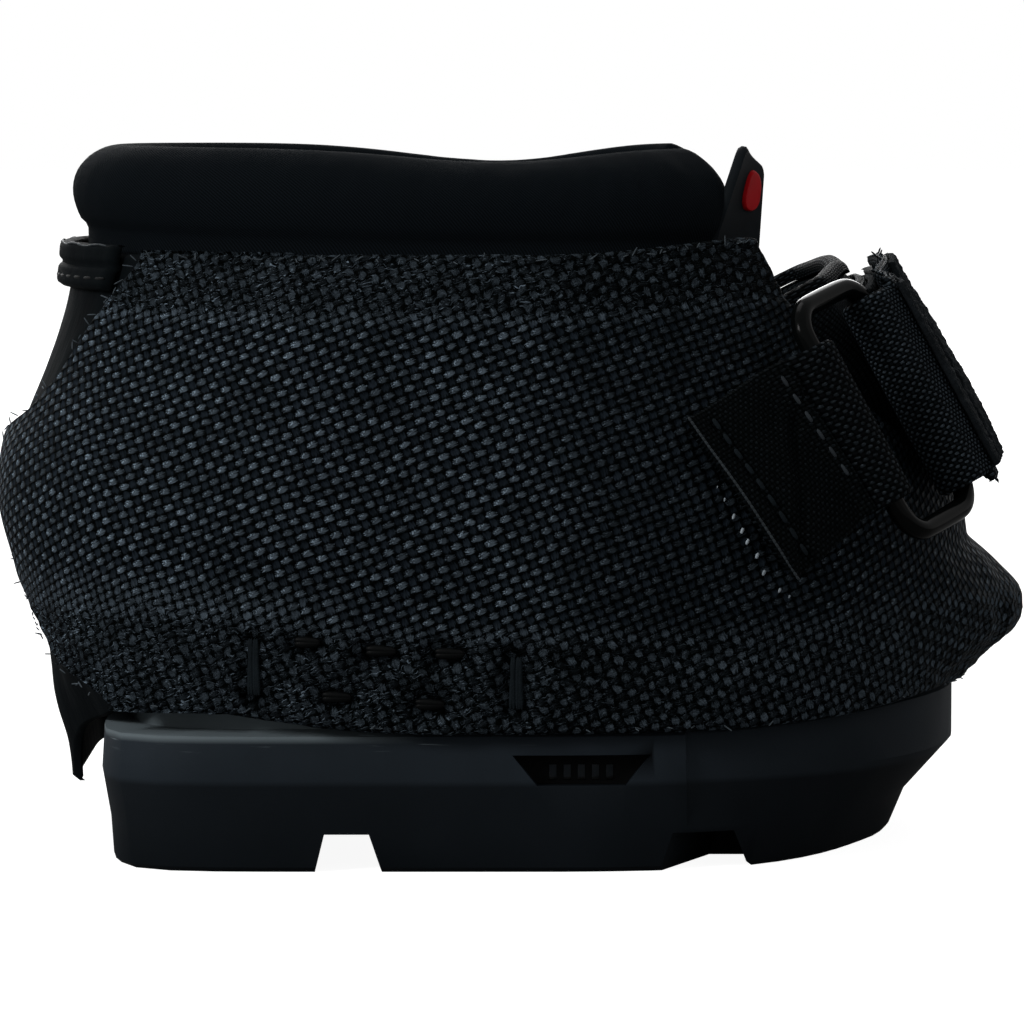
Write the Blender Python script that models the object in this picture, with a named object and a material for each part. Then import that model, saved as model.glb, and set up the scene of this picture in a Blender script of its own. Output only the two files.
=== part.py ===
"""Hoof boot: a moulded outsole cup with a sewn nylon upper, padded collar, tongue, ring and strap.

Metres. +X is the toe, -Y the near side, +Z up. The origin is on the ground, midway along and across.
Every layer of the upper is a patch of one boot surface, set in or out by named thicknesses.
A turn is an angle in degrees round that surface: 0 at the toe, 90 on the near side, 180 at the heel.
"""

import math

import bmesh
import bpy
from mathutils import Vector

# The sole
sole_length = 0.1386
sole_width = 0.130
sole_ahead = 0.00325  # the sole's middle lies this far ahead of the origin
ledge_height = 0.0215
ridge_height = 0.0147
tread_depth = 0.006
floor_thickness = 0.0030
tread_round = 0.0008
channel_behind = 0.0345  # the tread channel's rear edge, behind the sole's middle
channel_width = 0.0105
channel_draft = 0.00225
notch_ahead = 0.0186
notch_width = 0.0093
notch_depth = 0.0221
slot_behind = 0.0039
slot_length = 0.0217
slot_low = 0.0138
slot_high = 0.0186
slot_draft = 0.0039
slot_recess = 0.0035
side_taper = 0.0025
toe_taper = 0.0110
toe_rise = 0.0029  # the ledge climbs this much to the toe
pad_step = 0.0012  # the side pad stands this far proud of the front wall
upstand_height = 0.0420
upstand_heel_height = 0.0300
upstand_wall = 0.0025
upstand_heel_set = 0.0030

# The upper
upper_height = 0.0968
heel_overhang = 0.0218
toe_overhang = 0.0093
bulge_low = 0.0245
bulge_high = 0.0485
nylon = 0.0016
hem_fold = 0.0021
hem_height = 0.0140
top_hem_height = 0.0095
front_corner_rise = 0.0027
heel_hem_rise = 0.0030
seam_gap = 0.0008
lining_wall = 0.0039
heel_sheet = 0.0014
heel_tail_drop = 0.0135  # from the ledge down to the tail's cut end
heel_tail_width = 0.0400
heel_lip_height = 0.0072
heel_lip_wall = 0.0018

# The collar
collar_lap = 0.0125  # how far the collar reaches down inside the upper
collar_rise = 0.0159  # and how far it stands above the upper's edge
collar_width = 0.0098
collar_skin = 0.0012
collar_dip = 0.0043
collar_far_dip = 0.0022
collar_dip_turn = 98.0
collar_dip_span_turn = 24.0
collar_swell = 0.0026

# Ring, tab and strap
wire = 0.0036
ring_length = 0.0435
ring_width = 0.0240
ring_corner = 0.0050  # to the middle of the wire
ring_height = 0.0692
ring_lift = 0.0056
tab_width = 0.0275
tab_length = 0.0235
tab_webbing = 0.0015
patch_wall = 0.0014
patch_margin = 0.0012
strap_width = 0.0342
strap_height = 0.0747  # over the toe, where the strap is highest
webbing = 0.0016
fold_slack = 0.0005
pile_wall = 0.0012
hook_wall = 0.0012
fuzz_wall = 0.0010
fold_reach = 0.0025
tail_length = 0.0500
tail_spread = 1.08  # the tail is wider than the part that runs through the ring
fold_blend = 0.0120
anchor_length = 0.0240
hook_length = 0.0300
fuzz_length = 0.0120
band_length = 0.0050
front_pile_length = 0.0240

# The tongue
tongue_wall = 0.0025
tongue_base = 0.0440
tongue_proud = 0.0010
tongue_height = 0.0908
binding_height = 0.0020

# The rubber tag at the collar's end
tag_width = 0.0160
tag_height = 0.0212
tag_wall = 0.0018
tag_corner = 0.0030
tag_past_share = 0.013  # how far past the collar's end it stands, as a share of the way round
inlay_length = 0.0090
inlay_width = 0.0034
inlay_wall = 0.0008

# Thread
sole_thread = 0.0016
fine_thread = 0.0009
sole_stitch_length = 0.0405
sole_stitch_ahead = -0.0200
sole_stitch_low = 0.0277
sole_stitch_high = 0.0356
stitch_margin = 0.0024
stitch_crown = 0.0005

# Clearances
gap = 0.0003
layer_gap = 0.0008  # between the curved layers of the upper
corner_ease = 0.0010  # more of it at the tight rear corners, low down
hinge_gap = 0.0005
overrun = 0.0040
probe = 0.0005

# The boot surface, as shares of the sole's half length and half width at shares of the upper's height
height_shares = (0.155, 0.217, 0.258, 0.362, 0.465, 0.568, 0.671, 0.806, 0.909, 1.002, 1.167)
toe_shares = (1.004, 1.009, 1.015, 1.032, 1.036, 1.017, 0.955, 0.848, 0.760, 0.698, 0.610)
heel_shares = (0.50, 0.53, 0.555, 0.62, 0.745, 0.885, 0.85, 0.625, 0.48, 0.43, 0.415)
width_shares = (1.015, 1.031, 1.046, 1.062, 1.062, 1.043, 1.000, 0.938, 0.892, 0.846, 0.769)
square_powers = (4.2, 4.2, 4.0, 3.6, 3.2, 2.9, 2.7, 2.5, 2.4, 2.3, 2.3)
toe_power = 2.3
sole_power = 10.0
bulge_power = 1.3
bulge_turn = 24.0

# Edges of the quarters: turns at shares of the way from hem to top edge
front_edge_shares = (0.0, 0.36, 0.452, 0.548, 0.644, 0.753, 0.89, 1.0)
front_edge_turns = (0.0, 0.0, 14.0, 27.0, 36.0, 42.0, 45.5, 48.5)
rear_edge_shares = (0.0, 0.1, 0.26, 0.35, 0.5, 0.57, 0.65, 0.84, 1.0)
rear_edge_turns = (139.5, 149.5, 163.0, 180.0, 180.0, 172.0, 161.5, 155.0, 150.0)

strap_lean_share = 0.906  # how much of the strap's width stands upright on the sloping instep
tab_lean_share = 0.93

half_length = sole_length / 2
half_width = sole_width / 2
collar_base = upper_height - collar_lap
collar_top = upper_height + collar_rise
inner_layer = nylon + layer_gap  # where the lining and the heel panel start
cup_layer = nylon + hem_fold + layer_gap  # where the upstand and the collar start
tongue_set = cup_layer + upstand_wall + gap


def eased(share):
    """A smooth step from 0 to 1."""
    share = min(1.0, max(0.0, share))
    return share * share * (3 - 2 * share)


def mix(first, second, share):
    return first + (second - first) * share


def along(at, places, values):
    """A smooth curve through the values, level beyond the first and the last."""
    if at <= places[0]:
        return values[0]
    if at >= places[-1]:
        return values[-1]
    i = max(k for k in range(len(places) - 1) if places[k] <= at)
    span = places[i + 1] - places[i]
    slope = [0.0, 0.0]
    for end, k in enumerate((i, i + 1)):
        if 0 < k < len(places) - 1:
            slope[end] = (values[k + 1] - values[k - 1]) / (places[k + 1] - places[k - 1]) * span
    s = (at - places[i]) / span
    rise = values[i + 1] - values[i]
    return values[i] + rise * s * s * (3 - 2 * s) + s * (1 - s) * (slope[0] * (1 - s) - slope[1] * s)


def oval_reach(turn, toe, heel, half, square):
    """Distance from the sole's middle to a squared oval, at a turn."""
    angle = math.radians(turn)
    ahead = math.cos(angle)
    if ahead >= 0:
        reach, power = toe, toe_power
    else:
        reach, power = heel, square
    return (abs(ahead / reach) ** power + abs(math.sin(angle) / half) ** power) ** (-1 / power)


def bare_wall(turn, height, kind):
    """A point of the boot surface. Only the outer one has the toe's bulge, and the cup keeps the sole's heel."""
    share = height / upper_height
    toe = half_length * along(share, height_shares, toe_shares)
    half = half_width * along(share, height_shares, width_shares)
    square = along(share, height_shares, square_powers)
    if kind == "cup":
        heel = half_length - upstand_heel_set + cup_layer
    else:
        heel = half_length + heel_overhang * along(share, height_shares, heel_shares)
    reach = oval_reach(turn, toe, heel, half, square)
    around = (turn + 180) % 360 - 180
    if kind == "outer" and bulge_low < height < bulge_high:
        rise = math.sin(math.pi * (height - bulge_low) / (bulge_high - bulge_low)) ** bulge_power
        reach += toe_overhang * rise * math.exp(-((around / bulge_turn) ** 2))
    angle = math.radians(turn)
    return Vector((sole_ahead + reach * math.cos(angle), -reach * math.sin(angle), height))


def wall_frame(turn, height, kind="outer"):
    """The surface's point, the direction towards growing turns, the direction up it, and outwards."""
    step = math.degrees(probe / half_width)
    onward = (bare_wall(turn + step, height, kind) - bare_wall(turn - step, height, kind)).normalized()
    up = (bare_wall(turn, height + probe, kind) - bare_wall(turn, height - probe, kind)).normalized()
    outward = up.cross(onward).normalized()
    if outward.dot(Vector((math.cos(math.radians(turn)), -math.sin(math.radians(turn)), 0))) < 0:
        outward = -outward
    return bare_wall(turn, height, kind), onward, up, outward


def wall_point(turn, height, outset, kind="outer"):
    point, _, _, outward = wall_frame(turn, height, kind)
    return point + outward * outset


def principled(name, colour, roughness, metallic=0.0):
    material = bpy.data.materials.new(name)
    material.use_nodes = True
    shader = material.node_tree.nodes["Principled BSDF"]
    shader.inputs["Base Color"].default_value = (*colour, 1)
    shader.inputs["Roughness"].default_value = roughness
    shader.inputs["Metallic"].default_value = metallic
    return material


def finished(name, mesh, material, smooth_angle=35):
    """A new object from a bmesh, its faces turned outwards and shaded smooth."""
    bmesh.ops.recalc_face_normals(mesh, faces=mesh.faces)
    data = bpy.data.meshes.new(name)
    mesh.to_mesh(data)
    mesh.free()
    data.shade_smooth()
    data.set_sharp_from_angle(angle=math.radians(smooth_angle))
    data.materials.append(material)
    piece = bpy.data.objects.new(name, data)
    bpy.context.collection.objects.link(piece)
    return piece


def sheet(name, columns, rows, outer, inner, material):
    """A closed sheet from two grids of points, outer(u, v) and inner(u, v), joined round their rim."""
    mesh = bmesh.new()
    grids = []
    for side in (outer, inner):
        grids.append(
            [[mesh.verts.new(side(i / columns, j / rows)) for j in range(rows + 1)]
             for i in range(columns + 1)]
        )
    for i in range(columns):
        for j in range(rows):
            for grid in grids:
                mesh.faces.new((grid[i][j], grid[i + 1][j], grid[i + 1][j + 1], grid[i][j + 1]))
    top, under = grids
    rim = [(i, 0) for i in range(columns)] + [(columns, j) for j in range(rows)]
    rim += [(i, rows) for i in range(columns, 0, -1)] + [(0, j) for j in range(rows, 0, -1)]
    for (a, b), (c, d) in zip(rim, rim[1:] + rim[:1]):
        mesh.faces.new((top[a][b], top[c][d], under[c][d], under[a][b]))
    return finished(name, mesh, material)


def wall_sheet(name, columns, rows, place, outset, inset, material, kind="outer"):
    """A sheet on the boot surface: place(u, v) gives turn and height, outset and inset its two faces."""

    def face(level):
        def point(u, v):
            turn, height = place(u, v)
            return wall_point(turn, height, level(turn, height), kind)

        return point

    return sheet(name, columns, rows, face(outset), face(inset), material)


def loft(name, sections, material, closed=False, smooth_angle=50):
    """A body through closed sections of equal count, capped at its ends unless it closes on itself."""
    mesh = bmesh.new()
    loops = [[mesh.verts.new(point) for point in section] for section in sections]
    pairs = list(zip(loops, loops[1:]))
    if closed:
        pairs.append((loops[-1], loops[0]))
    else:
        mesh.faces.new(loops[0])
        mesh.faces.new(loops[-1])
    for first, second in pairs:
        for k in range(len(first)):
            after = (k + 1) % len(first)
            mesh.faces.new((first[k], first[after], second[after], second[k]))
    return finished(name, mesh, material, smooth_angle)


def tube(name, points, ups, radius, sides, material, closed=False):
    """A round tube through points; ups are directions that lie across its run."""
    sections = []
    count = len(points)
    for i in range(count):
        before = points[i - 1] if i or closed else points[i]
        after = points[(i + 1) % count] if i < count - 1 or closed else points[i]
        run = (after - before).normalized()
        across = run.cross(ups[i]).normalized()
        rise = across.cross(run)
        angles = [2 * math.pi * k / sides for k in range(sides)]
        sections.append([points[i] + (across * math.cos(a) + rise * math.sin(a)) * radius for a in angles])
    return loft(name, sections, material, closed, 80)


def prism(name, outline, depth, matrix_point):
    """A cutter: an outline of (a, b) pairs swept over depth, placed by matrix_point(a, b, c)."""
    mesh = bmesh.new()
    ends = [[mesh.verts.new(matrix_point(a, b, c)) for a, b in outline] for c in depth]
    mesh.faces.new(ends[0])
    mesh.faces.new(ends[1])
    for k in range(len(outline)):
        after = (k + 1) % len(outline)
        mesh.faces.new((ends[0][k], ends[0][after], ends[1][after], ends[1][k]))
    bmesh.ops.recalc_face_normals(mesh, faces=mesh.faces)
    data = bpy.data.meshes.new(name)
    mesh.to_mesh(data)
    mesh.free()
    cutter = bpy.data.objects.new(name, data)
    bpy.context.collection.objects.link(cutter)
    cutter.hide_render = True
    cutter.display_type = "WIRE"
    return cutter


def cut(piece, cutter):
    boolean = piece.modifiers.new(cutter.name, "BOOLEAN")
    boolean.operation = "DIFFERENCE"
    boolean.solver = "EXACT"
    boolean.object = cutter


# Where the hem, the ledge and the edges of the quarters run


def toe_share(turn):
    """1 at the toe, 0 on the sides and at the heel."""
    return 1 - eased((abs((turn + 180) % 360 - 180) - 25) / 45)


def ledge_at(turn):
    return ledge_height + toe_rise * toe_share(turn)


def hem_at(turn):
    return ledge_at(turn) + gap + heel_hem_rise * eased((turn - 105) / 35)


def top_at(turn):
    return upper_height + front_corner_rise * (1 - eased((turn - 45) / 45)) - gap


def front_turn_at(height):
    """The turn of the quarters' front edge, which forms the V over the instep."""
    share = (height - hem_at(0)) / (top_at(0) - hem_at(0))
    return along(share, front_edge_shares, front_edge_turns)


def make_outsole(rubber):
    """The moulded cup: tread, raised side pads, ledge and the upstand that the upper is sewn to."""
    columns = []
    pad_turn = 69.0
    step_turn = 0.6
    count = 13
    lug_share = 0.52
    lug_toe_share = 0.70
    for k in range(count + 1):
        columns.append(pad_turn * k / count)
    for k in range(count * 2 + 1):
        columns.append(pad_turn + step_turn + (180 - pad_turn - step_turn) * k / count / 2)
    turns = columns + [360 - turn for turn in reversed(columns[1:-1])]
    sections = []
    for turn in turns:
        front = toe_share(turn)
        around = abs((turn + 180) % 360 - 180)
        pad = 0.0 if around > pad_turn + step_turn / 2 else pad_step * (1 - front)
        heel_share = eased((around - 120) / 30)
        taper = mix(side_taper, toe_taper, front)
        ledge = ledge_at(turn)
        ridge = ridge_height + tread_round * front
        lug_top = tread_depth + tread_round

        def sole_point(inset, height):
            long = half_length - inset
            reach = oval_reach(turn, long, long, half_width - inset, sole_power)
            angle = math.radians(turn)
            return Vector((sole_ahead + reach * math.cos(angle), -reach * math.sin(angle), height))

        top = mix(upstand_height, upstand_heel_height, heel_share)
        inner = cup_layer + upstand_wall
        floor = tread_depth + floor_thickness
        foot = mix(ridge, ledge, 0.5)
        sections.append(
            [
                sole_point(taper, 0.0),
                sole_point(taper - tread_round, tread_round),
                sole_point(taper * mix(lug_share, lug_toe_share, front), lug_top),
                sole_point(pad, ridge),
                sole_point(pad + tread_round * (1 - front) / 2, ledge),
                wall_point(turn, ledge, -cup_layer, "cup"),
                wall_point(turn, mix(ledge, top, 0.5), -cup_layer, "cup"),
                wall_point(turn, top, -cup_layer, "cup"),
                wall_point(turn, top, -inner, "cup"),
                wall_point(turn, mix(ledge, top, 0.5), -inner, "cup"),
                wall_point(turn, foot, -inner, "cup"),
                sole_point(inner + tread_round + pad_step, floor),
            ]
        )
    mesh = bmesh.new()
    loops = [[mesh.verts.new(point) for point in section] for section in sections]
    for first, second in zip(loops, loops[1:] + loops[:1]):
        for k in range(len(first) - 1):
            mesh.faces.new((first[k], first[k + 1], second[k + 1], second[k]))
    mesh.faces.new([loop[0] for loop in loops])
    mesh.faces.new([loop[-1] for loop in loops])
    sole = finished("outsole", mesh, rubber, 25)

    channel_rear = sole_ahead - channel_behind
    channel_front = channel_rear + channel_width
    channel = [
        (channel_rear - channel_draft / 2, -overrun),
        (channel_front + channel_draft / 2, -overrun),
        (channel_front - channel_draft, tread_depth),
        (channel_rear + channel_draft / 2, tread_depth),
    ]
    span = (-half_width - overrun, half_width + overrun)
    cut(sole, prism("tread_channel_cutter", channel, span, lambda a, b, c: (a, c, b)))
    notch_rear = sole_ahead + notch_ahead
    notch_front = notch_rear + notch_width
    notch = [
        (notch_rear - channel_draft, -overrun),
        (notch_front + channel_draft, -overrun),
        (notch_front, tread_depth),
        (notch_rear + channel_draft / 2, tread_depth),
    ]
    notch_lean = 0.45
    slot_rear = sole_ahead - slot_behind
    slot_front = slot_rear + slot_length
    slot = [
        (slot_rear + slot_draft, slot_low),
        (slot_front - slot_draft, slot_low),
        (slot_front, slot_high),
        (slot_rear, slot_high),
    ]
    bars = 5
    window = (slot_length - slot_draft * 3) / (2 * bars - 1)
    drain_low_share = 0.12
    drain_high_share = 0.62
    for side, label in ((-1, "near"), (1, "far")):
        reach = (side * (half_width + overrun), side * (half_width - notch_depth))
        cutter = prism(
            label + "_notch_cutter",
            notch,
            reach,
            lambda a, b, c: (a + notch_lean * (half_width - abs(c)), c, b),
        )
        cut(sole, cutter)
        reach = (side * (half_width + overrun), side * (half_width - slot_recess))
        cut(sole, prism(label + "_slot_cutter", slot, reach, lambda a, b, c: (a, c, b)))
        for k in range(bars):
            start = slot_rear + slot_draft * 1.5 + 2 * k * window
            low = mix(slot_low, slot_high, drain_low_share)
            high = mix(slot_low, slot_high, drain_high_share)
            drain = [(start, low), (start + window, low), (start + window, high), (start, high)]
            inner_reach = half_width - cup_layer - upstand_wall - overrun
            reach = (side * (half_width - slot_recess + tread_round), side * inner_reach)
            name = label + "_drain_cutter_" + str(k + 1)
            cut(sole, prism(name, drain, reach, lambda a, b, c: (a, c, b)))
    return sole


def make_quarter(name, side, cloth):
    """One side of the nylon upper, with its hems folded in along the sole and the top edge."""
    columns = 38
    low_rows, plain_rows, top_rows = 4, 10, 2
    rows = low_rows + plain_rows + top_rows
    fold_top = hem_at(0) + hem_height
    fold_low = top_at(90) - top_hem_height
    hem_end_turn = 128.0
    hem_end_turns = 3.0

    def place(u, v):
        row = round(v * rows)
        if row < low_rows:
            nominal = mix(hem_at(0), fold_top, row / (low_rows - 1))
        elif row <= low_rows + plain_rows:
            nominal = mix(fold_top + layer_gap, fold_low, (row - low_rows) / plain_rows)
        else:
            top_share = (row - low_rows - plain_rows - 1) / (top_rows - 1)
            nominal = mix(fold_low, top_at(0), 0.1 + 0.9 * top_share)
        share = (nominal - hem_at(0)) / (top_at(0) - hem_at(0))
        front = along(share, front_edge_shares, front_edge_turns)
        rear = along(share, rear_edge_shares, rear_edge_turns)
        seam = math.degrees(seam_gap / 2 / half_width)
        turn = mix(max(front, seam), min(rear, 180 - seam), u)
        if row < low_rows:
            height = mix(hem_at(turn), fold_top, row / (low_rows - 1))
        elif row <= low_rows + plain_rows:
            height = nominal
        else:
            height = mix(fold_low, top_at(turn), (nominal - fold_low) / (top_at(0) - fold_low))
        return side * turn, height

    def inset(turn, height):
        around = abs(turn)
        low = 1.0 if height < fold_top + layer_gap / 2 else 0.0
        high = 1.0 if height > fold_low + layer_gap / 2 else 0.0
        ending = 1 - eased((around - hem_end_turn) / hem_end_turns + 1)
        return -nylon - hem_fold * max(low, high) * ending

    return wall_sheet(name, columns, rows, place, lambda turn, height: 0.0, inset, cloth)


def corner_gap(turn, height):
    """The extra clearance of the inner layers where the upper turns tightly round the sole's rear corners."""
    around = abs((turn + 180) % 360 - 180)
    low = 1 - eased((height - upper_height / 2) / hem_height)
    return corner_ease * low * eased((around - 110) / 15)


def make_lining(name, side, cloth):
    """The foam-backed lining behind a quarter, from the upstand up to the collar."""
    columns, rows = 20, 8
    rear_turn = 133.5
    edge_set = 3.0

    def place(u, v):
        height = mix(upstand_height + gap, collar_base - gap, v)
        front = max(front_turn_at(height) + edge_set, math.degrees(seam_gap / half_width))
        return side * mix(front, rear_turn, u), height

    def outset(turn, height):
        return -inner_layer - corner_gap(turn, height)

    def inset(turn, height):
        return -inner_layer - lining_wall

    return wall_sheet(name, columns, rows, place, outset, inset, cloth, "inner")


def make_heel_panel(leather):
    """The smooth sheet inside the quarters round the heel, with its cut tail behind the sole."""
    columns, rows = 24, 15
    low = ledge_height - heel_tail_drop
    tail_turn = math.degrees(heel_tail_width / 2 / (half_length + heel_overhang * heel_shares[0]))
    heights = (low, ledge_height - heel_tail_drop / 3, ledge_height + heel_hem_rise, upstand_heel_height)
    turns = (tail_turn, tail_turn * 1.35, 38.0, 45.5)

    def place(u, v):
        height = mix(low, upper_height - 2 * gap, v)
        span = along(height, heights, turns)
        return 180 + mix(-span, span, u), height

    def outset(turn, height):
        return -inner_layer - corner_gap(turn, height)

    def inset(turn, height):
        return -inner_layer - heel_sheet - corner_gap(turn, height)

    return wall_sheet("heel_panel", columns, rows, place, outset, inset, leather, "inner")


def make_heel_lip(leather):
    """The heel panel's top edge, folded over outwards and stitched down between the quarters."""
    span = 25.5

    def place(u, v):
        return 180 + mix(-span, span, u), mix(upper_height - heel_lip_height, upper_height, v)

    def outset(turn, height):
        return heel_lip_wall - inner_layer + gap

    def inset(turn, height):
        return gap - inner_layer

    return wall_sheet("heel_lip", 14, 3, place, outset, inset, leather)


collar_end_heights = (collar_base, upper_height, mix(upper_height, collar_top, 0.5), collar_top)
collar_end_turns = (68.4, 61.0, 55.2, 49.0)


# The roll's outline: shares of the swell outwards, of the width inwards and of the rise above the upper
collar_outline_shares = (
    (0.5, 0.0, 0.30),
    (1.0, 0.0, 0.48),
    (0.9, 0.0, 0.70),
    (0.0, 0.08, 0.88),
    (0.0, 0.30, 0.97),
    (0.0, 0.52, 1.0),
    (0.0, 0.76, 0.92),
    (0.0, 0.96, 0.72),
    (0.0, 1.0, 0.40),
    (0.0, 1.0, 0.0),
)
collar_core_share = 0.3
collar_foot_share = 0.9


def collar_section(skin):
    """Pairs of inset and height round the padded roll, from its outer foot over the top to its inner foot."""
    points = [(cup_layer, collar_base), (cup_layer, upper_height + front_corner_rise)]
    for swell, width, rise in collar_outline_shares:
        inset = cup_layer - collar_swell * swell + collar_width * width
        points.append((inset, mix(upper_height, collar_top, rise)))
    points.append((cup_layer + collar_width * collar_foot_share, collar_base))
    if not skin:
        return points
    middle = (cup_layer + collar_width / 2, mix(upper_height, collar_top, collar_core_share))
    inner = []
    for k, (inset, height) in enumerate(points):
        before = points[max(0, k - 1)]
        after = points[min(len(points) - 1, k + 1)]
        run = (after[0] - before[0], after[1] - before[1])
        length = math.hypot(*run)
        normal = (run[1] / length, -run[0] / length)
        if normal[0] * (middle[0] - inset) + normal[1] * (middle[1] - height) < 0:
            normal = (-normal[0], -normal[1])
        if k in (0, len(points) - 1):
            normal = (math.copysign(1, normal[0]), 0)
        inner.append((inset + normal[0] * skin, height + normal[1] * skin))
    return inner


def collar_point(u, inset, height):
    front = along(height, collar_end_heights, collar_end_turns)
    turn = mix(front, 360 - front, u)
    around = (turn + 180) % 360 - 180
    deepest = collar_dip if around > 0 else collar_far_dip
    dip = deepest * math.exp(-(((abs(around) - collar_dip_turn) / collar_dip_span_turn) ** 2))
    above = max(0.0, height - upper_height) / (collar_top - upper_height)
    return wall_point(turn, height - dip * above, -inset)


def make_collar(knit, foam):
    """The padded roll round the top: a knit cover, open below, over a foam core."""
    stations = 34
    outer = collar_section(0)
    inner = collar_section(collar_skin)
    core = collar_section(collar_skin + 3 * gap)
    cover_loop = outer + inner[::-1]
    sections = [[collar_point(i / stations, *pair) for pair in cover_loop] for i in range(stations + 1)]
    loft("collar_cover", sections, knit)
    sections = [[collar_point(i / stations, *pair) for pair in core] for i in range(stations + 1)]
    loft("collar_foam", sections, foam)


# The ring's frame: its middle, the way to its strap bar, the way up it and the way out of the boot
ring_turn = 40.2
ring_lean = math.radians(14.0)
_, ring_onward, wall_up, ring_out = wall_frame(ring_turn, ring_height)
ring_up = wall_up * math.cos(ring_lean) + ring_onward * math.sin(ring_lean)
ring_across = ring_out.cross(ring_up)
if ring_across.dot(ring_onward) > 0:
    ring_across = -ring_across
ring_middle = wall_point(ring_turn, ring_height, ring_lift)
bar_apart = (ring_width - wire) / 2
tab_bar = ring_middle - ring_across * bar_apart
strap_bar = ring_middle + ring_across * bar_apart
fold_radius = wire / 2 + gap + fold_slack


def make_ring(metal):
    """A closed loop of round wire with straight bars for the tab and the strap."""
    corner_steps = 5
    half = ((ring_width - wire) / 2, (ring_length - wire) / 2)
    points = []
    ups = []
    for quadrant in range(4):
        centre_across = (half[0] - ring_corner) * (1 if quadrant in (0, 3) else -1)
        centre_up = (half[1] - ring_corner) * (1 if quadrant in (0, 1) else -1)
        for k in range(corner_steps + 1):
            angle = math.pi / 2 * (quadrant + k / corner_steps)
            across = centre_across + ring_corner * math.cos(angle)
            up = centre_up + ring_corner * math.sin(angle)
            points.append(ring_middle + ring_across * across + ring_up * up)
            ups.append(ring_out)
    return tube("ring", points, ups, wire / 2, 10, metal, closed=True)


def bar_turn(bar):
    """The turn of the boot surface under a bar."""
    return math.degrees(math.atan2(-bar.y, bar.x - sole_ahead))


tab_lean = math.radians(31.0)


def tab_point(distance, level, across):
    """A point of the tab, behind the tab bar: in the ring's frame near the bar, on the boot further back."""
    straight = tab_bar - ring_across * distance + ring_up * across + ring_out * (level - ring_lift)
    radius = (tab_bar - Vector((sole_ahead, 0, tab_bar.z))).length
    onward = distance * math.cos(tab_lean) + across * math.sin(tab_lean)
    upward = across * math.cos(tab_lean) - distance * math.sin(tab_lean)
    turn = bar_turn(tab_bar) + math.degrees(onward / radius)
    laid = wall_point(turn, tab_bar.z + upward * tab_lean_share, level)
    return straight.lerp(laid, eased((distance - wire) / (tab_length / 3)))


def make_tab(webbing_black, cloth, thread):
    """A webbing loop round the ring's tab bar, a patch sewn over it, and the row of stitches."""
    steps = 8
    wrap = wire / 2 + gap

    def loop_path(radius, low, high):
        """Distance and level pairs from the lower layer's rear end, round the bar, to the upper layer's."""
        pairs = [(tab_length * (1 - k / steps), low(1 - k / steps)) for k in range(steps)]
        for k in range(steps + 1):
            angle = -math.pi / 2 - math.pi * k / steps
            pairs.append((radius * math.cos(angle), ring_lift + radius * math.sin(angle)))
        pairs += [(tab_length * (k + 1) / steps, high((k + 1) / steps)) for k in range(steps)]
        return pairs

    def settle(start, end):
        return lambda share: mix(start, end, eased(share * 2))

    under = gap + tab_webbing
    inner = loop_path(wrap, settle(ring_lift - wrap, under), settle(ring_lift + wrap, under + gap))
    outer_radius = wrap + tab_webbing
    low = settle(ring_lift - outer_radius, gap)
    high = settle(ring_lift + outer_radius, 2 * under)
    outer = loop_path(outer_radius, low, high)
    stations = 5
    path = inner + outer[::-1]
    mesh = bmesh.new()
    loops = []
    for k in range(stations + 1):
        across = mix(-1, 1, k / stations) * tab_width / 2
        loops.append([mesh.verts.new(tab_point(distance, level, across)) for distance, level in path])
    total = len(path)
    for k in range(total // 2 - 1):
        for loop in (loops[0], loops[-1]):
            mesh.faces.new((loop[k], loop[k + 1], loop[total - 2 - k], loop[total - 1 - k]))
    for first, second in zip(loops, loops[1:]):
        for k in range(total):
            after = (k + 1) % total
            mesh.faces.new((first[k], first[after], second[after], second[k]))
    finished("ring_tab", mesh, webbing_black)

    patch_floor = 4 * gap + 2 * tab_webbing
    patch_rise = ring_lift + outer_radius + 2 * gap
    patch_start = wire + patch_margin * 3

    def patch_point(extra):
        def point(u, v):
            distance = mix(patch_start, tab_length + patch_margin, u)
            level = mix(patch_rise, patch_floor, eased(distance / tab_length * 2)) + extra
            across = mix(-1, 1, v) * (tab_width / 2 + patch_margin * u)
            return tab_point(distance, level, across)

        return point

    sheet("tab_patch", 10, 4, patch_point(patch_wall), patch_point(0.0), cloth)

    stitches = 7
    points = []
    ups = []
    run = 4 * stitches
    for k in range(run + 1):
        share = k / run
        across = mix(-1, 1, share) * (tab_width / 2 - patch_margin)
        lift = stitch_crown * abs(math.sin(math.pi * share * stitches))
        level = patch_floor + patch_wall + gap + fine_thread / 2 + lift
        points.append(tab_point(tab_length - stitch_margin, level, across))
        ups.append(ring_out)
    tube("tab_stitching", points, ups, fine_thread / 2, 5, thread)


strap_turns = (-90.0, -60.0, -42.0, -30.0, -15.0, 0.0, 15.0, 24.0)
strap_floor_shares = (0.0, 0.0, 0.25, 0.55, 0.9, 1.0, 0.68, 0.2)
strap_reach_radius = (strap_bar - Vector((sole_ahead, 0, strap_bar.z))).length - ring_lift
# How far the strap's middle line has sunk from its height over the toe, as shares of its width
strap_drop_turns = (-90.0, -75.0, -60.0, -40.0, -20.0, 0.0, 20.0, 34.0)
strap_drop_shares = (0.55, 0.44, 0.31, 0.155, 0.04, 0.0, 0.035, 0.10)


def strap_floor(turn):
    """How far the strap's underside stands off the boot surface, over the tongue."""
    return gap + tongue_proud * along(turn, strap_turns, strap_floor_shares)


def strap_turn_at(distance):
    return bar_turn(strap_bar) - math.degrees(distance / strap_reach_radius)


def strap_middle(turn):
    """The height of the strap's middle line."""
    return strap_height - strap_width * along(turn, strap_drop_turns, strap_drop_shares)


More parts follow.
